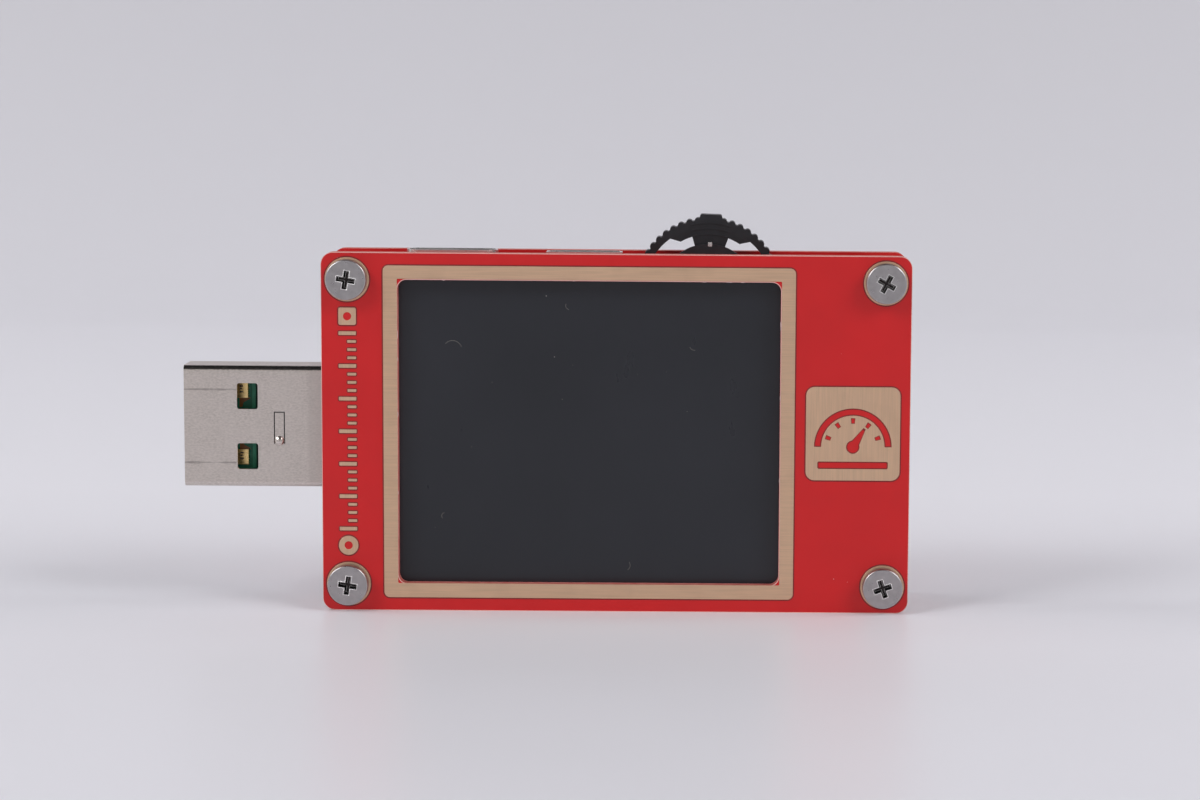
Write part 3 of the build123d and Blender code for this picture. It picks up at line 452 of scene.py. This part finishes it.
node_materials = {
    red_mask: ("front_panel", "back_panel"),
    shaded_inner_mask: ("main_board",),
    nickel_brass: ("front_standoffs", "rear_standoffs"),
    screw_zinc: ("front_screws", "rear_screws"),
    screen_dark: ("screen_polarizer",),
    glass_edge: ("screen_front_glass", "screen_rear_glass"),
    frame_white: ("screen_backlight_frame", "screen_reflector"),
    guide_clear: ("screen_light_guide",),
    silicon_grey: ("screen_driver_chip",),
    ribbon_amber: ("screen_ribbon",),
    plug_steel: ("usb_a_plug_shell", "usb_a_socket_shell"),
    insulator_green: ("usb_a_plug_tongue", "usb_a_socket_tongue"),
    gold_contact: (
        "usb_a_plug_contacts", "usb_a_socket_contacts",
        "usb_c_socket_contacts", "micro_usb_socket_contacts",
    ),
    socket_steel: (
        "usb_c_socket_shell", "micro_usb_socket_shell", "dial_cover",
        "dial_index_pin", "crystal",
    ),
    tin: ("dial_terminals",),
    spring_steel: ("dial_return_spring", "dial_centring_spring"),
    dial_black: ("dial_base", "dial_carriage", "dial_wheel"),
    socket_black: ("usb_c_socket_tongue", "micro_usb_socket_tongue", "screen_ribbon_connector"),
    chip_black: (
        "microcontroller", "flash_chip", "shunt_resistor", "power_switches",
        "regulator_chip", "inductor", "chip_resistors",
    ),
    capacitor_tan: ("chip_capacitors",),
}
for material, names in node_materials.items():
    for name in names:
        mesh = nodes[name].data
        mesh.materials.clear()
        mesh.materials.append(material)

# small rounded edges on the CAD solids that show
edge_rounding = {
    "front_panel": 0.06, "back_panel": 0.06, "main_board": 0.05, "dial_wheel": 0.07,
    "dial_base": 0.06, "usb_a_plug_shell": 0.05, "usb_a_socket_shell": 0.05,
    "usb_c_socket_shell": 0.04, "micro_usb_socket_shell": 0.04, "dial_cover": 0.04,
    "microcontroller": 0.06, "flash_chip": 0.12, "shunt_resistor": 0.06,
    "power_switches": 0.06, "regulator_chip": 0.1, "inductor": 0.25, "crystal": 0.12,
    "chip_capacitors": 0.08, "chip_resistors": 0.04,
}
for name, width in edge_rounding.items():
    rounding = nodes[name].modifiers.new("rounding", "BEVEL")
    rounding.width = width * MM
    rounding.segments = 3
    rounding.limit_method = "ANGLE"
    rounding.angle_limit = math.radians(40)
    rounding.harden_normals = False

# ---------------------------------------------------------------- flat pieces


def circle(centre_x, centre_z, radius, count=48):
    """Points of a circle."""
    return [
        (
            centre_x + radius * math.cos(2 * math.pi * step / count),
            centre_z + radius * math.sin(2 * math.pi * step / count),
        )
        for step in range(count)
    ]


def rounded_rectangle(centre_x, centre_z, width, height, radius, count=6):
    """Points of a rectangle with round corners; radius 0 gives square corners."""
    if radius == 0:
        return [
            (centre_x + sx * width / 2, centre_z + sz * height / 2)
            for sx, sz in ((1, 1), (-1, 1), (-1, -1), (1, -1))
        ]
    points = []
    for quarter, (sx, sz) in enumerate(((1, 1), (-1, 1), (-1, -1), (1, -1))):
        corner_x = centre_x + sx * (width / 2 - radius)
        corner_z = centre_z + sz * (height / 2 - radius)
        for step in range(count + 1):
            angle = math.pi / 2 * (quarter + step / count)
            points.append(
                (corner_x + radius * math.cos(angle), corner_z + radius * math.sin(angle))
            )
    return points


def ring_sector(centre_x, centre_z, inner, outer, start, end, count=32):
    """Points of a band between two radii; angles in degrees from +X towards +Z."""
    angles = [math.radians(start + (end - start) * step / count) for step in range(count + 1)]
    outside = [(centre_x + outer * math.cos(a), centre_z + outer * math.sin(a)) for a in angles]
    inside = [(centre_x + inner * math.cos(a), centre_z + inner * math.sin(a)) for a in angles]
    return outside + inside[::-1]


def finish_piece(piece, material, body="case"):
    """Gives a piece its material and the body that it rides on."""
    piece.data.materials.clear()
    piece.data.materials.append(material)
    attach(piece, body)
    return piece


def flat_piece(name, outlines, front, depth, bevel, material, body="case", towards=-1):
    """Extruded outlines in an XZ plane: from the face at front, depth mm towards -Y or +Y.

    Outlines inside another are holes.
    """
    curve = bpy.data.curves.new(name + "_outline", "CURVE")
    curve.dimensions = "2D"
    curve.fill_mode = "BOTH"
    curve.extrude = (depth / 2 - bevel) * MM
    curve.bevel_depth = bevel * MM
    curve.bevel_resolution = 1
    curve.offset = -bevel * MM
    for outline in outlines:
        spline = curve.splines.new("POLY")
        spline.points.add(len(outline) - 1)
        for point, (x, z) in zip(spline.points, outline):
            point.co = (x * MM, z * MM, 0, 1)
        spline.use_cyclic_u = True
    source = bpy.data.objects.new(name + "_outline", curve)
    mesh = bpy.data.meshes.new_from_object(source)
    bpy.data.objects.remove(source)
    bpy.data.curves.remove(curve)
    upright = Matrix.Rotation(math.radians(90), 4, "X")
    middle = Matrix.Translation((0, (front + towards * depth / 2) * MM, 0))
    mesh.transform(middle @ upright)
    piece = bpy.data.objects.new(name, mesh)
    bpy.context.scene.collection.objects.link(piece)
    return finish_piece(piece, material, body)


def box_group(name, boxes, bevel, material, body="case"):
    """One piece made of rounded boxes, each given by its lowest and highest corner in mm."""
    vertices, faces = [], []
    for low, high in boxes:
        start = len(vertices)
        for x in (low[0], high[0]):
            for y in (low[1], high[1]):
                for z in (low[2], high[2]):
                    vertices.append((x * MM, y * MM, z * MM))
        quads = (
            (0, 1, 3, 2), (4, 6, 7, 5), (0, 4, 5, 1), (2, 3, 7, 6), (0, 2, 6, 4), (1, 5, 7, 3),
        )
        faces.extend(tuple(start + corner for corner in quad) for quad in quads)
    mesh = bpy.data.meshes.new(name)
    mesh.from_pydata(vertices, [], faces)
    piece = bpy.data.objects.new(name, mesh)
    bpy.context.scene.collection.objects.link(piece)
    rounding = piece.modifiers.new("rounding", "BEVEL")
    rounding.width = bevel * MM
    rounding.segments = 2
    return finish_piece(piece, material, body)


# ---------------------------------------------------------------- gold on the front panel

plating_depth = 0.04
plating_bevel = 0.012
mask_step = 0.13
step_depth = 0.012
step_bevel = 0.004
screen_middle_x = panel_middle.x - 2.65
screen_middle_z = panel_middle.z + 0.03
frame_outer = (40.06, 32.6)
frame_inner = (37.36, 29.90)
frame_radius = 0.55
frame_inner_radius = 0.12
window_half = (18.62, 14.92)
window_radius = 0.9
window_middle_x = panel_middle.x - 2.66
window_middle_z = panel_middle.z + 0.02

gold_frame = [
    rounded_rectangle(screen_middle_x, screen_middle_z, *frame_outer, frame_radius),
    rounded_rectangle(
        screen_middle_x + 0.01, screen_middle_z + 0.06, *frame_inner, frame_inner_radius
    ),
]
flat_piece("screen_gold_frame", gold_frame, panel_low.y, plating_depth, plating_bevel, gold_flat)

pad_outer = 2.15
pad_inner = 1.2
# gold screw pads on both faces, each ringed by painted shade where the mask steps down
for face_name, face_y, towards in (("front", panel_low.y, -1), ("rear", back_high.y, 1)):
    pads, pad_step_shades = [], []
    for spot_x, spot_z in screw_spots:
        pads += [circle(spot_x, spot_z, pad_outer), circle(spot_x, spot_z, pad_inner)]
        pad_step_shades += [
            circle(spot_x, spot_z, pad_outer + mask_step), circle(spot_x, spot_z, pad_inner)
        ]
    flat_piece(
        face_name + "_screw_pads", pads, face_y, plating_depth, plating_bevel, gold_flat,
        towards=towards,
    )
    flat_piece(
        face_name + "_pad_mask_step_shade", pad_step_shades, face_y, step_depth, step_bevel, mask_shade,
        towards=towards,
    )

# a generic gauge sign: a scale, a needle and a base line, left open in a gold plate
plate_x = panel_middle.x + 23.1
plate_z = panel_middle.z + 0.2
plate_size = 9.2
plate_radius = 0.85
gauge_z = plate_z - 1.3


def needle(centre_x, centre_z, hub, reach, angle):
    """A tapered pointer with a round hub; the angle is in degrees from +X."""
    turn = math.radians(angle)
    hub_points = [
        (centre_x + hub * math.cos(turn + a), centre_z + hub * math.sin(turn + a))
        for a in (math.radians(40 + 280 * step / 16) for step in range(17))
    ]
    half_tip = 0.12
    tip = [
        (
            centre_x + reach * math.cos(turn) + side * half_tip * math.sin(turn),
            centre_z + reach * math.sin(turn) - side * half_tip * math.cos(turn),
        )
        for side in (1, -1)
    ]
    return hub_points + tip


def gauge_sign(inset):
    """Outlines of the open shapes in the plate, each smaller all round by inset."""
    trim = math.degrees(inset / 3.45)
    shapes = [
        ring_sector(plate_x, gauge_z, 3.1 + inset, 3.8 - inset, trim, 180 - trim),
        needle(plate_x, gauge_z, 0.66 - inset, 2.15 - 2 * inset, 58),
        rounded_rectangle(plate_x, plate_z - 3.1, 6.9 - 2 * inset, 0.72 - 2 * inset, 0.15),
    ]
    for tick in range(5):
        tick_angle = 20 + tick * 35
        spread = 4.5 - math.degrees(inset / 2.6) / 2
        shapes.append(
            ring_sector(
                plate_x, gauge_z, 2.3 + inset / 2, 2.85 - inset / 2,
                tick_angle - spread, tick_angle + spread, 4,
            )
        )
    return shapes


flat_piece(
    "gauge_sign_plate",
    [rounded_rectangle(plate_x, plate_z, plate_size, plate_size, plate_radius), *gauge_sign(0)],
    panel_low.y, plating_depth, plating_bevel, gold_upright,
)

# a plain gold ruler beside the screen, between a square and a round test pad
ruler_x = panel_middle.x - 26.15
ruler_middle_z = panel_middle.z + 0.1
ruler_length = 19.2
ruler_steps = 24
ruler_half_width = 0.85
test_pad_reach = 11.25
square_pad = 1.7
square_pad_radius = 0.2
round_pad_radius = 0.95
test_hole_radius = 0.4


def ruler_marks(extra):
    """Outlines of the ruler's marks, each larger all round by extra."""
    marks = []
    for step in range(ruler_steps + 1):
        long_mark = step % 4 == 0
        width = 2 * ruler_half_width if long_mark else ruler_half_width
        thickness = 0.36 if long_mark else 0.26
        mark_z = ruler_middle_z - ruler_length / 2 + step * ruler_length / ruler_steps
        mark_x = ruler_x + ruler_half_width - width / 2
        marks.append(
            rounded_rectangle(
                mark_x, mark_z, width + 2 * extra, thickness + 2 * extra, 0.06 + extra, 2
            )
        )
    return marks


flat_piece(
    "gold_ruler_marks", ruler_marks(0), panel_low.y, plating_depth, plating_bevel, gold_upright
)
flat_piece(
    "gold_test_pads",
    [
        rounded_rectangle(
            ruler_x, ruler_middle_z + test_pad_reach, square_pad, square_pad, square_pad_radius
        ),
        circle(ruler_x, ruler_middle_z + test_pad_reach, test_hole_radius, 24),
        circle(ruler_x, ruler_middle_z - test_pad_reach, round_pad_radius),
        circle(ruler_x, ruler_middle_z - test_pad_reach, test_hole_radius, 24),
    ],
    panel_low.y, plating_depth, plating_bevel, gold_upright,
)

# painted shade: a thin dark line where the solder mask steps down round each bare gold shape
flat_piece(
    "gold_mask_step_shade",
    [
        rounded_rectangle(
            screen_middle_x, screen_middle_z,
            frame_outer[0] + 2 * mask_step, frame_outer[1] + 2 * mask_step,
            frame_radius + mask_step,
        ),
        gold_frame[1],
        rounded_rectangle(
            plate_x, plate_z,
            plate_size + 2 * mask_step, plate_size + 2 * mask_step,
            plate_radius + mask_step,
        ),
        *gauge_sign(0.11),
        rounded_rectangle(
            ruler_x, ruler_middle_z + test_pad_reach,
            square_pad + 2 * mask_step, square_pad + 2 * mask_step,
            square_pad_radius + mask_step,
        ),
        circle(ruler_x, ruler_middle_z + test_pad_reach, test_hole_radius, 24),
        circle(ruler_x, ruler_middle_z - test_pad_reach, round_pad_radius + mask_step),
        circle(ruler_x, ruler_middle_z - test_pad_reach, test_hole_radius, 24),
        *ruler_marks(mask_step * 0.8),
    ],
    panel_low.y, step_depth, step_bevel, mask_shade,
)

# pale burrs where the window was routed through the board
dice = random.Random(5)
window_low = Vector((screen_middle_x - window_half[0], screen_middle_z - window_half[1]))
window_high = Vector((screen_middle_x + window_half[0], screen_middle_z + window_half[1]))
burrs = []
for along_x, along_z, length in (
    (0.80, 1.0, 0.50), (0.865, 1.0, 0.85), (0.90, 1.0, 0.40), (0.46, 1.0, 0.35), (0.12, 1.0, 0.3),
    (0.0, 0.82, 0.9), (0.0, 0.74, 0.5), (0.0, 0.56, 0.6), (0.0, 0.30, 0.35),
    (1.0, 0.86, 1.2), (1.0, 0.62, 0.8), (1.0, 0.35, 0.5),
):
    upright = along_z < 1.0
    width = dice.uniform(0.07, 0.12)
    centre_x = window_low.x + along_x * (window_high.x - window_low.x)
    centre_z = window_low.y + along_z * (window_high.y - window_low.y)
    burrs.append(
        [
            (
                centre_x + (width if upright else length) * math.cos(turn) / 2 * ragged,
                centre_z + (length if upright else width) * math.sin(turn) / 2 * ragged,
            )
            for turn, ragged in (
                (2 * math.pi * step / 14, dice.uniform(0.6, 1.1)) for step in range(14)
            )
        ]
    )
flat_piece("window_burrs", burrs, panel_low.y, 0.05, 0.012, laminate_pale)

# thin pale lines of painted highlight on the cut laminate at the panel's edge and round the window
panel_size = panel_high - panel_low
panel_radius = 1.2
edge_highlight_lines = []
for extra, radius in ((0.005, panel_radius), (0.055, panel_radius - 0.05)):
    edge_highlight_lines.append(
        rounded_rectangle(
            panel_middle.x, panel_middle.z, panel_size.x - 2 * extra, panel_size.z - 2 * extra,
            radius, 10,
        )
    )
for extra in (0.02, 0.075):
    edge_highlight_lines.append(
        rounded_rectangle(
            window_middle_x, window_middle_z,
            2 * (window_half[0] + extra), 2 * (window_half[1] + extra),
            window_radius + extra, 8,
        )
    )
flat_piece("panel_edge_highlights", edge_highlight_lines, panel_low.y, 0.012, 0.004, edge_highlight_pink)

# five short curved hairs and nine specks on the screen
lint = []
for turn_start, radius, reach_x, reach_z in (
    (200, 0.45, 10.2, 8.6), (20, 0.9, -13.4, 8.0), (100, 0.3, -14.2, -8.4), (300, 0.5, 3.5, -13.2),
    (150, 0.35, -2.0, 12.4),
):
    lint.append(
        ring_sector(
            screen_middle_x + reach_x, screen_middle_z + reach_z, radius, radius + 0.035,
            turn_start, turn_start + dice.uniform(70, 130), 8,
        )
    )
for _ in range(9):
    lint.append(
        circle(
            screen_middle_x + dice.uniform(-17, 17), screen_middle_z + dice.uniform(-13, 13),
            dice.uniform(0.02, 0.045), 8,
        )
    )
flat_piece("screen_lint", lint, polarizer_low.y, 0.02, 0.004, lint_grey)

# ---------------------------------------------------------------- gold on the back panel

back_middle_z = (back_low.z + back_high.z) / 2
table_top = back_middle_z + 9.0
table_row = 3.0
table_width = 46.0
table_height = 22.0
table_radius = 1.2
table_border = 0.3

# a framed, empty rating table with rules but no lettering
back_outlines = [
    rounded_rectangle(
        panel_middle.x, back_middle_z,
        table_width - 2 * inset, table_height - 2 * inset, table_radius - inset,
    )
    for inset in (0.0, table_border)
]
for row in range(7):
    back_outlines.append(
        rounded_rectangle(panel_middle.x - 6.5, table_top - row * table_row, 28.0, 0.2, 0.05, 2)
    )
for column in range(6):
    back_outlines.append(
        rounded_rectangle(
            panel_middle.x + 14.0, table_top - (column + 0.5) * table_row,
            5.5 - 0.7 * column, 0.9, 0.3,
        )
    )
flat_piece(
    "back_gold_table", back_outlines, back_high.y, plating_depth, plating_bevel, gold_flat, towards=1
)

# round test pads along the bottom of the back panel, and vias above and below its table
back_pads = []
for step in range(8):
    pad_x = panel_middle.x - 14 + 4 * step
    pad_z = back_low.z + 3.4
    back_pads += [circle(pad_x, pad_z, 0.75, 24), circle(pad_x, pad_z, 0.3, 16)]
for step in range(14):
    via_x = panel_middle.x + dice.uniform(-24, 24)
    via_z = back_middle_z + dice.choice((-1, 1)) * dice.uniform(12.0, 13.2)
    back_pads.append(circle(via_x, via_z, 0.16, 12))
flat_piece(
    "back_test_pads", back_pads, back_high.y, plating_depth, plating_bevel, gold_flat, towards=1
)

# ---------------------------------------------------------------- screw recess highlights

recess_reach = 0.9
recess_arm = 0.25


def cross(spot, turn, extra):
    """Outline of a screw's cross recess, larger all round by extra; turn in degrees."""
    span, arm = recess_reach + extra, recess_arm + extra
    corners = [
        (span, -arm), (span, arm), (arm, arm), (arm, span), (-arm, span), (-arm, arm),
        (-span, arm), (-span, -arm), (-arm, -arm), (-arm, -span), (arm, -span), (arm, -arm),
    ]
    cosine, sine = math.cos(math.radians(turn)), math.sin(math.radians(turn))
    return [
        (spot[0] + x * cosine - z * sine, spot[1] + x * sine + z * cosine) for x, z in corners
    ]


# a thin painted highlight round the mouth of each recess on the front; turns in the order of
# screw_spots
recess_rim_highlights = []
for spot, turn in zip(screw_spots, (-9, -9, 19, -28)):
    recess_rim_highlights += [cross(spot, turn, 0.07), cross(spot, turn, 0.015)]
flat_piece("screw_recess_highlights", recess_rim_highlights, screws_low.y, 0.02, 0.008, rim_highlight)

# ---------------------------------------------------------------- plug latch

# painted shade at the bottom of the slits round the latch strip
plug_middle_z = (plug_low.z + plug_high.z) / 2
latch_left = plug_low.x + 8.8
latch_right = latch_left + 1.1
latch_top = plug_middle_z + 1.47
latch_bottom = plug_middle_z - 1.73
slit = 0.12
slit_sunk = 0.2
slit_floor = 0.14
flat_piece(
    "plug_latch_slit_shade",
    [
        [
            (latch_left, latch_bottom), (latch_left, latch_top),
            (latch_right, latch_top), (latch_right, latch_bottom),
            (latch_right - slit, latch_bottom), (latch_right - slit, latch_top - slit),
            (latch_left + slit, latch_top - slit), (latch_left + slit, latch_bottom),
        ]
    ],
    plug_front + slit_sunk, slit_floor, 0.0, painted_shade_dark,
)

# ---------------------------------------------------------------- plug windows

contact_depth = 0.2
tongue_face = contact_low.y + contact_depth
pocket_depth = 0.5
window_reach = 2.975
pad_reach = 3.325
pad_half = 0.75


def window_strip(start, end, half_height):
    """Two outlines, one in each window, between two distances from the plug's tip."""
    return [
        rounded_rectangle(
            plug_low.x + (start + end) / 2, plug_middle_z + side * window_reach,
            end - start, 2 * half_height, 0.04, 2,
        )
        for side in (-1, 1)
    ]


# painted shade on the floor of a pocket in the insulator, a painted lit band on a rib beside it, and
# painted amber shadow round the contact pads
flat_piece(
    "plug_pocket_shade", window_strip(6.78, 7.32, 1.45),
    tongue_face + pocket_depth, 0.04, 0.01, insulator_painted_shade,
)
flat_piece(
    "plug_window_lit_bands", window_strip(6.36, 6.70, 1.4), tongue_face, 0.04, 0.01, insulator_painted_light
)
# painted amber shadow below the left end of each pad, cast by the window's edge
amber_shadow_outlines = []
for side in (-1, 1):
    pad_edge = plug_middle_z + side * (pad_reach - pad_half)
    window_edge = plug_middle_z + side * (window_reach - 1.35)
    amber_shadow_outlines.append(
        [
            (plug_low.x + 5.1, pad_edge), (plug_low.x + 5.1, window_edge),
            (plug_low.x + 5.35, window_edge), (plug_low.x + 5.5, (pad_edge + window_edge) / 2),
            (plug_low.x + 6.1, pad_edge - side * 0.12), (plug_low.x + 6.2, pad_edge),
        ][::side]
    )
flat_piece("plug_window_amber_shadow", amber_shadow_outlines, tongue_face, 0.03, 0.008, amber_shadow)
# dark notches in the left ends of the contact pads, painted as shade
notches = []
for side in (-1, 1):
    for offset, length in ((0.42, 0.34), (0.16, 0.22), (-0.14, 0.36)):
        notches.append(
            rounded_rectangle(
                plug_low.x + 5.15 + length / 2, plug_middle_z + side * pad_reach + offset,
                length, 0.13, 0.03, 2,
            )
        )
flat_piece("plug_pad_notches", notches, contact_low.y, 0.02, 0.006, painted_shade_dark)

# ---------------------------------------------------------------- return spring

# a copy of the return spring takes the place of the CAD node, which is hidden
return_leaf = bpy.data.objects.new(
    "return_spring_leaf", nodes["dial_return_spring"].data.copy()
)
bpy.context.scene.collection.objects.link(return_leaf)
finish_piece(return_leaf, spring_steel)
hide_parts("dial_return_spring")
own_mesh(return_leaf)

# ---------------------------------------------------------------- dial ridges

ridge_width = 0.16
ridge_start, ridge_end = 71, 105
ridge_outlines = [
    ring_sector(
        dial_middle.x, dial_middle.z, radius, radius + ridge_width, ridge_start, ridge_end, 16
    )
    for radius in (5.6, 6.15, 6.7)
]
flat_piece(
    "dial_front_ridges", ridge_outlines, wheel_low.y + 0.02, 0.09, 0.02, dial_black, "dial"
)

# ---------------------------------------------------------------- solder and leads


def loose_boxes(node_name):
    """Lowest and highest corner of each separate solid of a node, in mm, in a fixed order."""
    mesh = nodes[node_name].data
    parent = list(range(len(mesh.vertices)))

    def root(index):
        while parent[index] != index:
            parent[index] = parent[parent[index]]
            index = parent[index]
        return index

    # corners that share a place belong together, as well as corners on one edge
    first_at = {}
    for vertex in mesh.vertices:
        place_key = tuple(round(value / MM, 3) for value in vertex.co)
        parent[root(vertex.index)] = root(first_at.setdefault(place_key, vertex.index))
    for edge in mesh.edges:
        parent[root(edge.vertices[0])] = root(edge.vertices[1])
    groups = {}
    for vertex in mesh.vertices:
        groups.setdefault(root(vertex.index), []).append(vertex.co / MM)
    boxes = [
        (
            Vector(min(point[axis] for point in points) for axis in range(3)),
            Vector(max(point[axis] for point in points) for axis in range(3)),
        )
        for points in groups.values()
    ]
    return sorted(boxes, key=lambda box: (round(box[0].x, 2), round(box[0].z, 2)))


def end_caps(node_name, cap):
    """Tinned caps round both ends of each chip part, a little larger than the part."""
    proud = 0.03
    boxes = []
    for low, high in loose_boxes(node_name):
        for start, end in ((low.x - proud, low.x + cap), (high.x - cap, high.x + proud)):
            boxes.append(
                ((start, low.y, low.z - proud), (end, high.y + proud, high.z + proud))
            )
    box_group(node_name + "_caps", boxes, 0.03, tin)


def side_leads(node_name, count, pitch, lead_width, reach, rise):
    """Rows of tinned leads on the left and right sides of each chip, down to the board."""
    boxes = []
    for low, high in loose_boxes(node_name):
        outward = 1 if low.y > 0 else -1
        board_y = low.y if outward > 0 else high.y
        for row in range(count):
            middle = (low.z + high.z) / 2 + (row - (count - 1) / 2) * pitch
            for edge_x, side in ((low.x, -1), (high.x, 1)):
                for x0, x1, y0, y1 in (
                    (edge_x, edge_x + side * reach * 0.5, rise - 0.15, rise),
                    (edge_x + side * reach * 0.35, edge_x + side * reach * 0.5, 0.0, rise),
                    (edge_x + side * reach * 0.35, edge_x + side * reach, 0.0, 0.15),
                ):
                    depths = sorted((board_y + outward * y0, board_y + outward * y1))
                    boxes.append(
                        (
                            (min(x0, x1), depths[0], middle - lead_width / 2),
                            (max(x0, x1), depths[1], middle + lead_width / 2),
                        )
                    )
    box_group(node_name + "_leads", boxes, 0.02, tin)


def solder_dots(name, spots, radius, front, towards):
    """Low domes of solder on the main board."""
    rise = towards * radius * 0.6
    vertices, faces = [], []
    for spot_x, spot_z in spots:
        start = len(vertices)
        for ring in range(4):
            lean = math.radians(90 * ring / 4)
            for step in range(12):
                turn = 2 * math.pi * step / 12
                vertices.append(
                    (
                        (spot_x + radius * math.cos(lean) * math.cos(turn)) * MM,
                        (front + rise * math.sin(lean)) * MM,
                        (spot_z + radius * math.cos(lean) * math.sin(turn)) * MM,
                    )
                )
        vertices.append((spot_x * MM, (front + rise) * MM, spot_z * MM))
        for ring in range(3):
            for step in range(12):
                after = (step + 1) % 12
                low, high = start + 12 * ring, start + 12 * (ring + 1)
                faces.append((low + step, low + after, high + after, high + step))
        for step in range(12):
            faces.append((start + 36 + step, start + 36 + (step + 1) % 12, start + 48))
    mesh = bpy.data.meshes.new(name)
    mesh.from_pydata(vertices, [], faces)
    for polygon in mesh.polygons:
        polygon.use_smooth = True
    piece = bpy.data.objects.new(name, mesh)
    bpy.context.scene.collection.objects.link(piece)
    finish_piece(piece, tin)


end_caps("chip_capacitors", 0.45)
end_caps("chip_resistors", 0.35)
end_caps("shunt_resistor", 0.6)
end_caps("crystal", 0.4)
side_leads("flash_chip", 4, 1.27, 0.42, 1.1, 0.8)
side_leads("power_switches", 4, 1.27, 0.45, 0.7, 0.35)
side_leads("regulator_chip", 1, 1.0, 0.5, 0.6, 0.5)

# solder on the plug's four tails where they meet the main board
solder_dots(
    "plug_tail_solder",
    [(contact_high.x - 0.5, plug_middle_z + offset) for offset in (-3.3, -1.0, 1.0, 3.3)],
    0.62, board_high.y, 1,
)

# ---------------------------------------------------------------- studio


def studio():
    """Pale floor that sweeps up into a backdrop."""
    half_width, front, back, top, bend = 0.9, -0.7, 0.55, 0.75, 0.25
    profile = [(front, 0.0), (back - bend, 0.0)]
    for step in range(1, 17):
        angle = math.radians(90 * step / 16)
        profile.append((back - bend + bend * math.sin(angle), bend - bend * math.cos(angle)))
    profile.append((back, top))
    vertices = [(x, y, z) for y, z in profile for x in (-half_width, half_width)]
    faces = [(2 * i, 2 * i + 1, 2 * i + 3, 2 * i + 2) for i in range(len(profile) - 1)]
    mesh = bpy.data.meshes.new("studio_sweep")
    mesh.from_pydata(vertices, [], faces)
    for polygon in mesh.polygons:
        polygon.use_smooth = True
    sweep = bpy.data.objects.new("studio_sweep", mesh)
    bpy.context.scene.collection.objects.link(sweep)
    material, tree, shader = new_material("pale_sweep", roughness=0.36, ior=1.28)
    paper = noise(tree, 0.02, 3)
    tone = mix_colour(tree, paper, (0.755, 0.748, 0.80), (0.79, 0.783, 0.835))
    # painted light on the paper just behind the object, and painted shade where it bends up
    _, depth, _ = place_axes(tree)
    tone = mix_colour(tree, remap(tree, depth, 5.0, 75.0), tone, (0.845, 0.838, 0.89))
    bend_shade = remap(tree, depth, 290.0, 480.0)
    tone = mix_colour(tree, bend_shade, tone, (0.655, 0.648, 0.69))
    set_input(tree, shader.inputs["Base Color"], tone)
    mesh.materials.append(material)


def area_light(name, place_m, look_at_m, size, power, colour=(1, 1, 1)):
    """A square softbox aimed at a point."""
    data = bpy.data.lights.new(name, "AREA")
    data.shape = "SQUARE"
    data.size = size
    data.energy = power
    data.color = colour
    light = bpy.data.objects.new(name, data)
    light.location = place_m
    aim = Vector(look_at_m) - Vector(place_m)
    light.rotation_euler = aim.to_track_quat("-Z", "Y").to_euler()
    bpy.context.scene.collection.objects.link(light)


def surround():
    """World light that is pale near the horizon and dark overhead."""
    world = bpy.data.worlds.new("studio_world")
    world.use_nodes = True
    tree = world.node_tree
    background = tree.nodes["Background"]
    background.inputs["Strength"].default_value = 1.0
    coords = tree.nodes.new("ShaderNodeTexCoord")
    split = tree.nodes.new("ShaderNodeSeparateXYZ")
    tree.links.new(coords.outputs["Generated"], split.inputs[0])
    height = remap(tree, split.outputs["Z"], 0.30, 0.60)
    pale = (0.445, 0.432, 0.437)
    tone = mix_colour(tree, height, pale, (0.02, 0.02, 0.022))
    set_input(tree, background.inputs["Color"], tone)
    bpy.context.scene.world = world


def lights():
    """Softboxes at the upper left and right, and two at the sides that light the backdrop."""
    target = (0.0, 0.0, 0.02)
    area_light("left_softbox", (-0.52, -0.40, 0.50), target, 0.34, 2.68)
    area_light("right_softbox", (0.55, -0.36, 0.50), target, 0.34, 2.42)
    area_light("left_backdrop_softbox", (-0.75, 0.05, 0.50), (0.1, 0.42, 0.0), 0.4, 2.2)
    area_light("right_backdrop_softbox", (0.75, 0.05, 0.50), (-0.1, 0.42, 0.0), 0.4, 2.1)
    surround()


def camera():
    """A long lens a little above and to the right, shifted to frame the object left of middle."""
    panel_front_middle = Vector((panel_middle.x, panel_low.y, panel_middle.z))
    eye = (panel_front_middle + Vector((10.18, -288.04, 36.91))) * MM
    right = Vector((0.999904, -0.010789, 0.008740))
    forward = Vector((0.011725, 0.993257, -0.115338))
    up = right.cross(forward)
    data = bpy.data.cameras.new("photo_camera")
    data.sensor_width = 36.0
    data.lens = 89.23
    data.shift_x = -0.1298
    data.clip_start = 0.01
    data.clip_end = 10.0
    view = bpy.data.objects.new("photo_camera", data)
    pose = Matrix((right, up, -forward)).transposed().to_4x4()
    pose.translation = eye
    view.matrix_world = pose
    bpy.context.scene.collection.objects.link(view)
    bpy.context.scene.camera = view


studio()
lights()
camera()
bpy.context.scene.view_settings.view_transform = "Standard"

# ---------------------------------------------------------------- update of the view layer

bpy.context.view_layer.update()
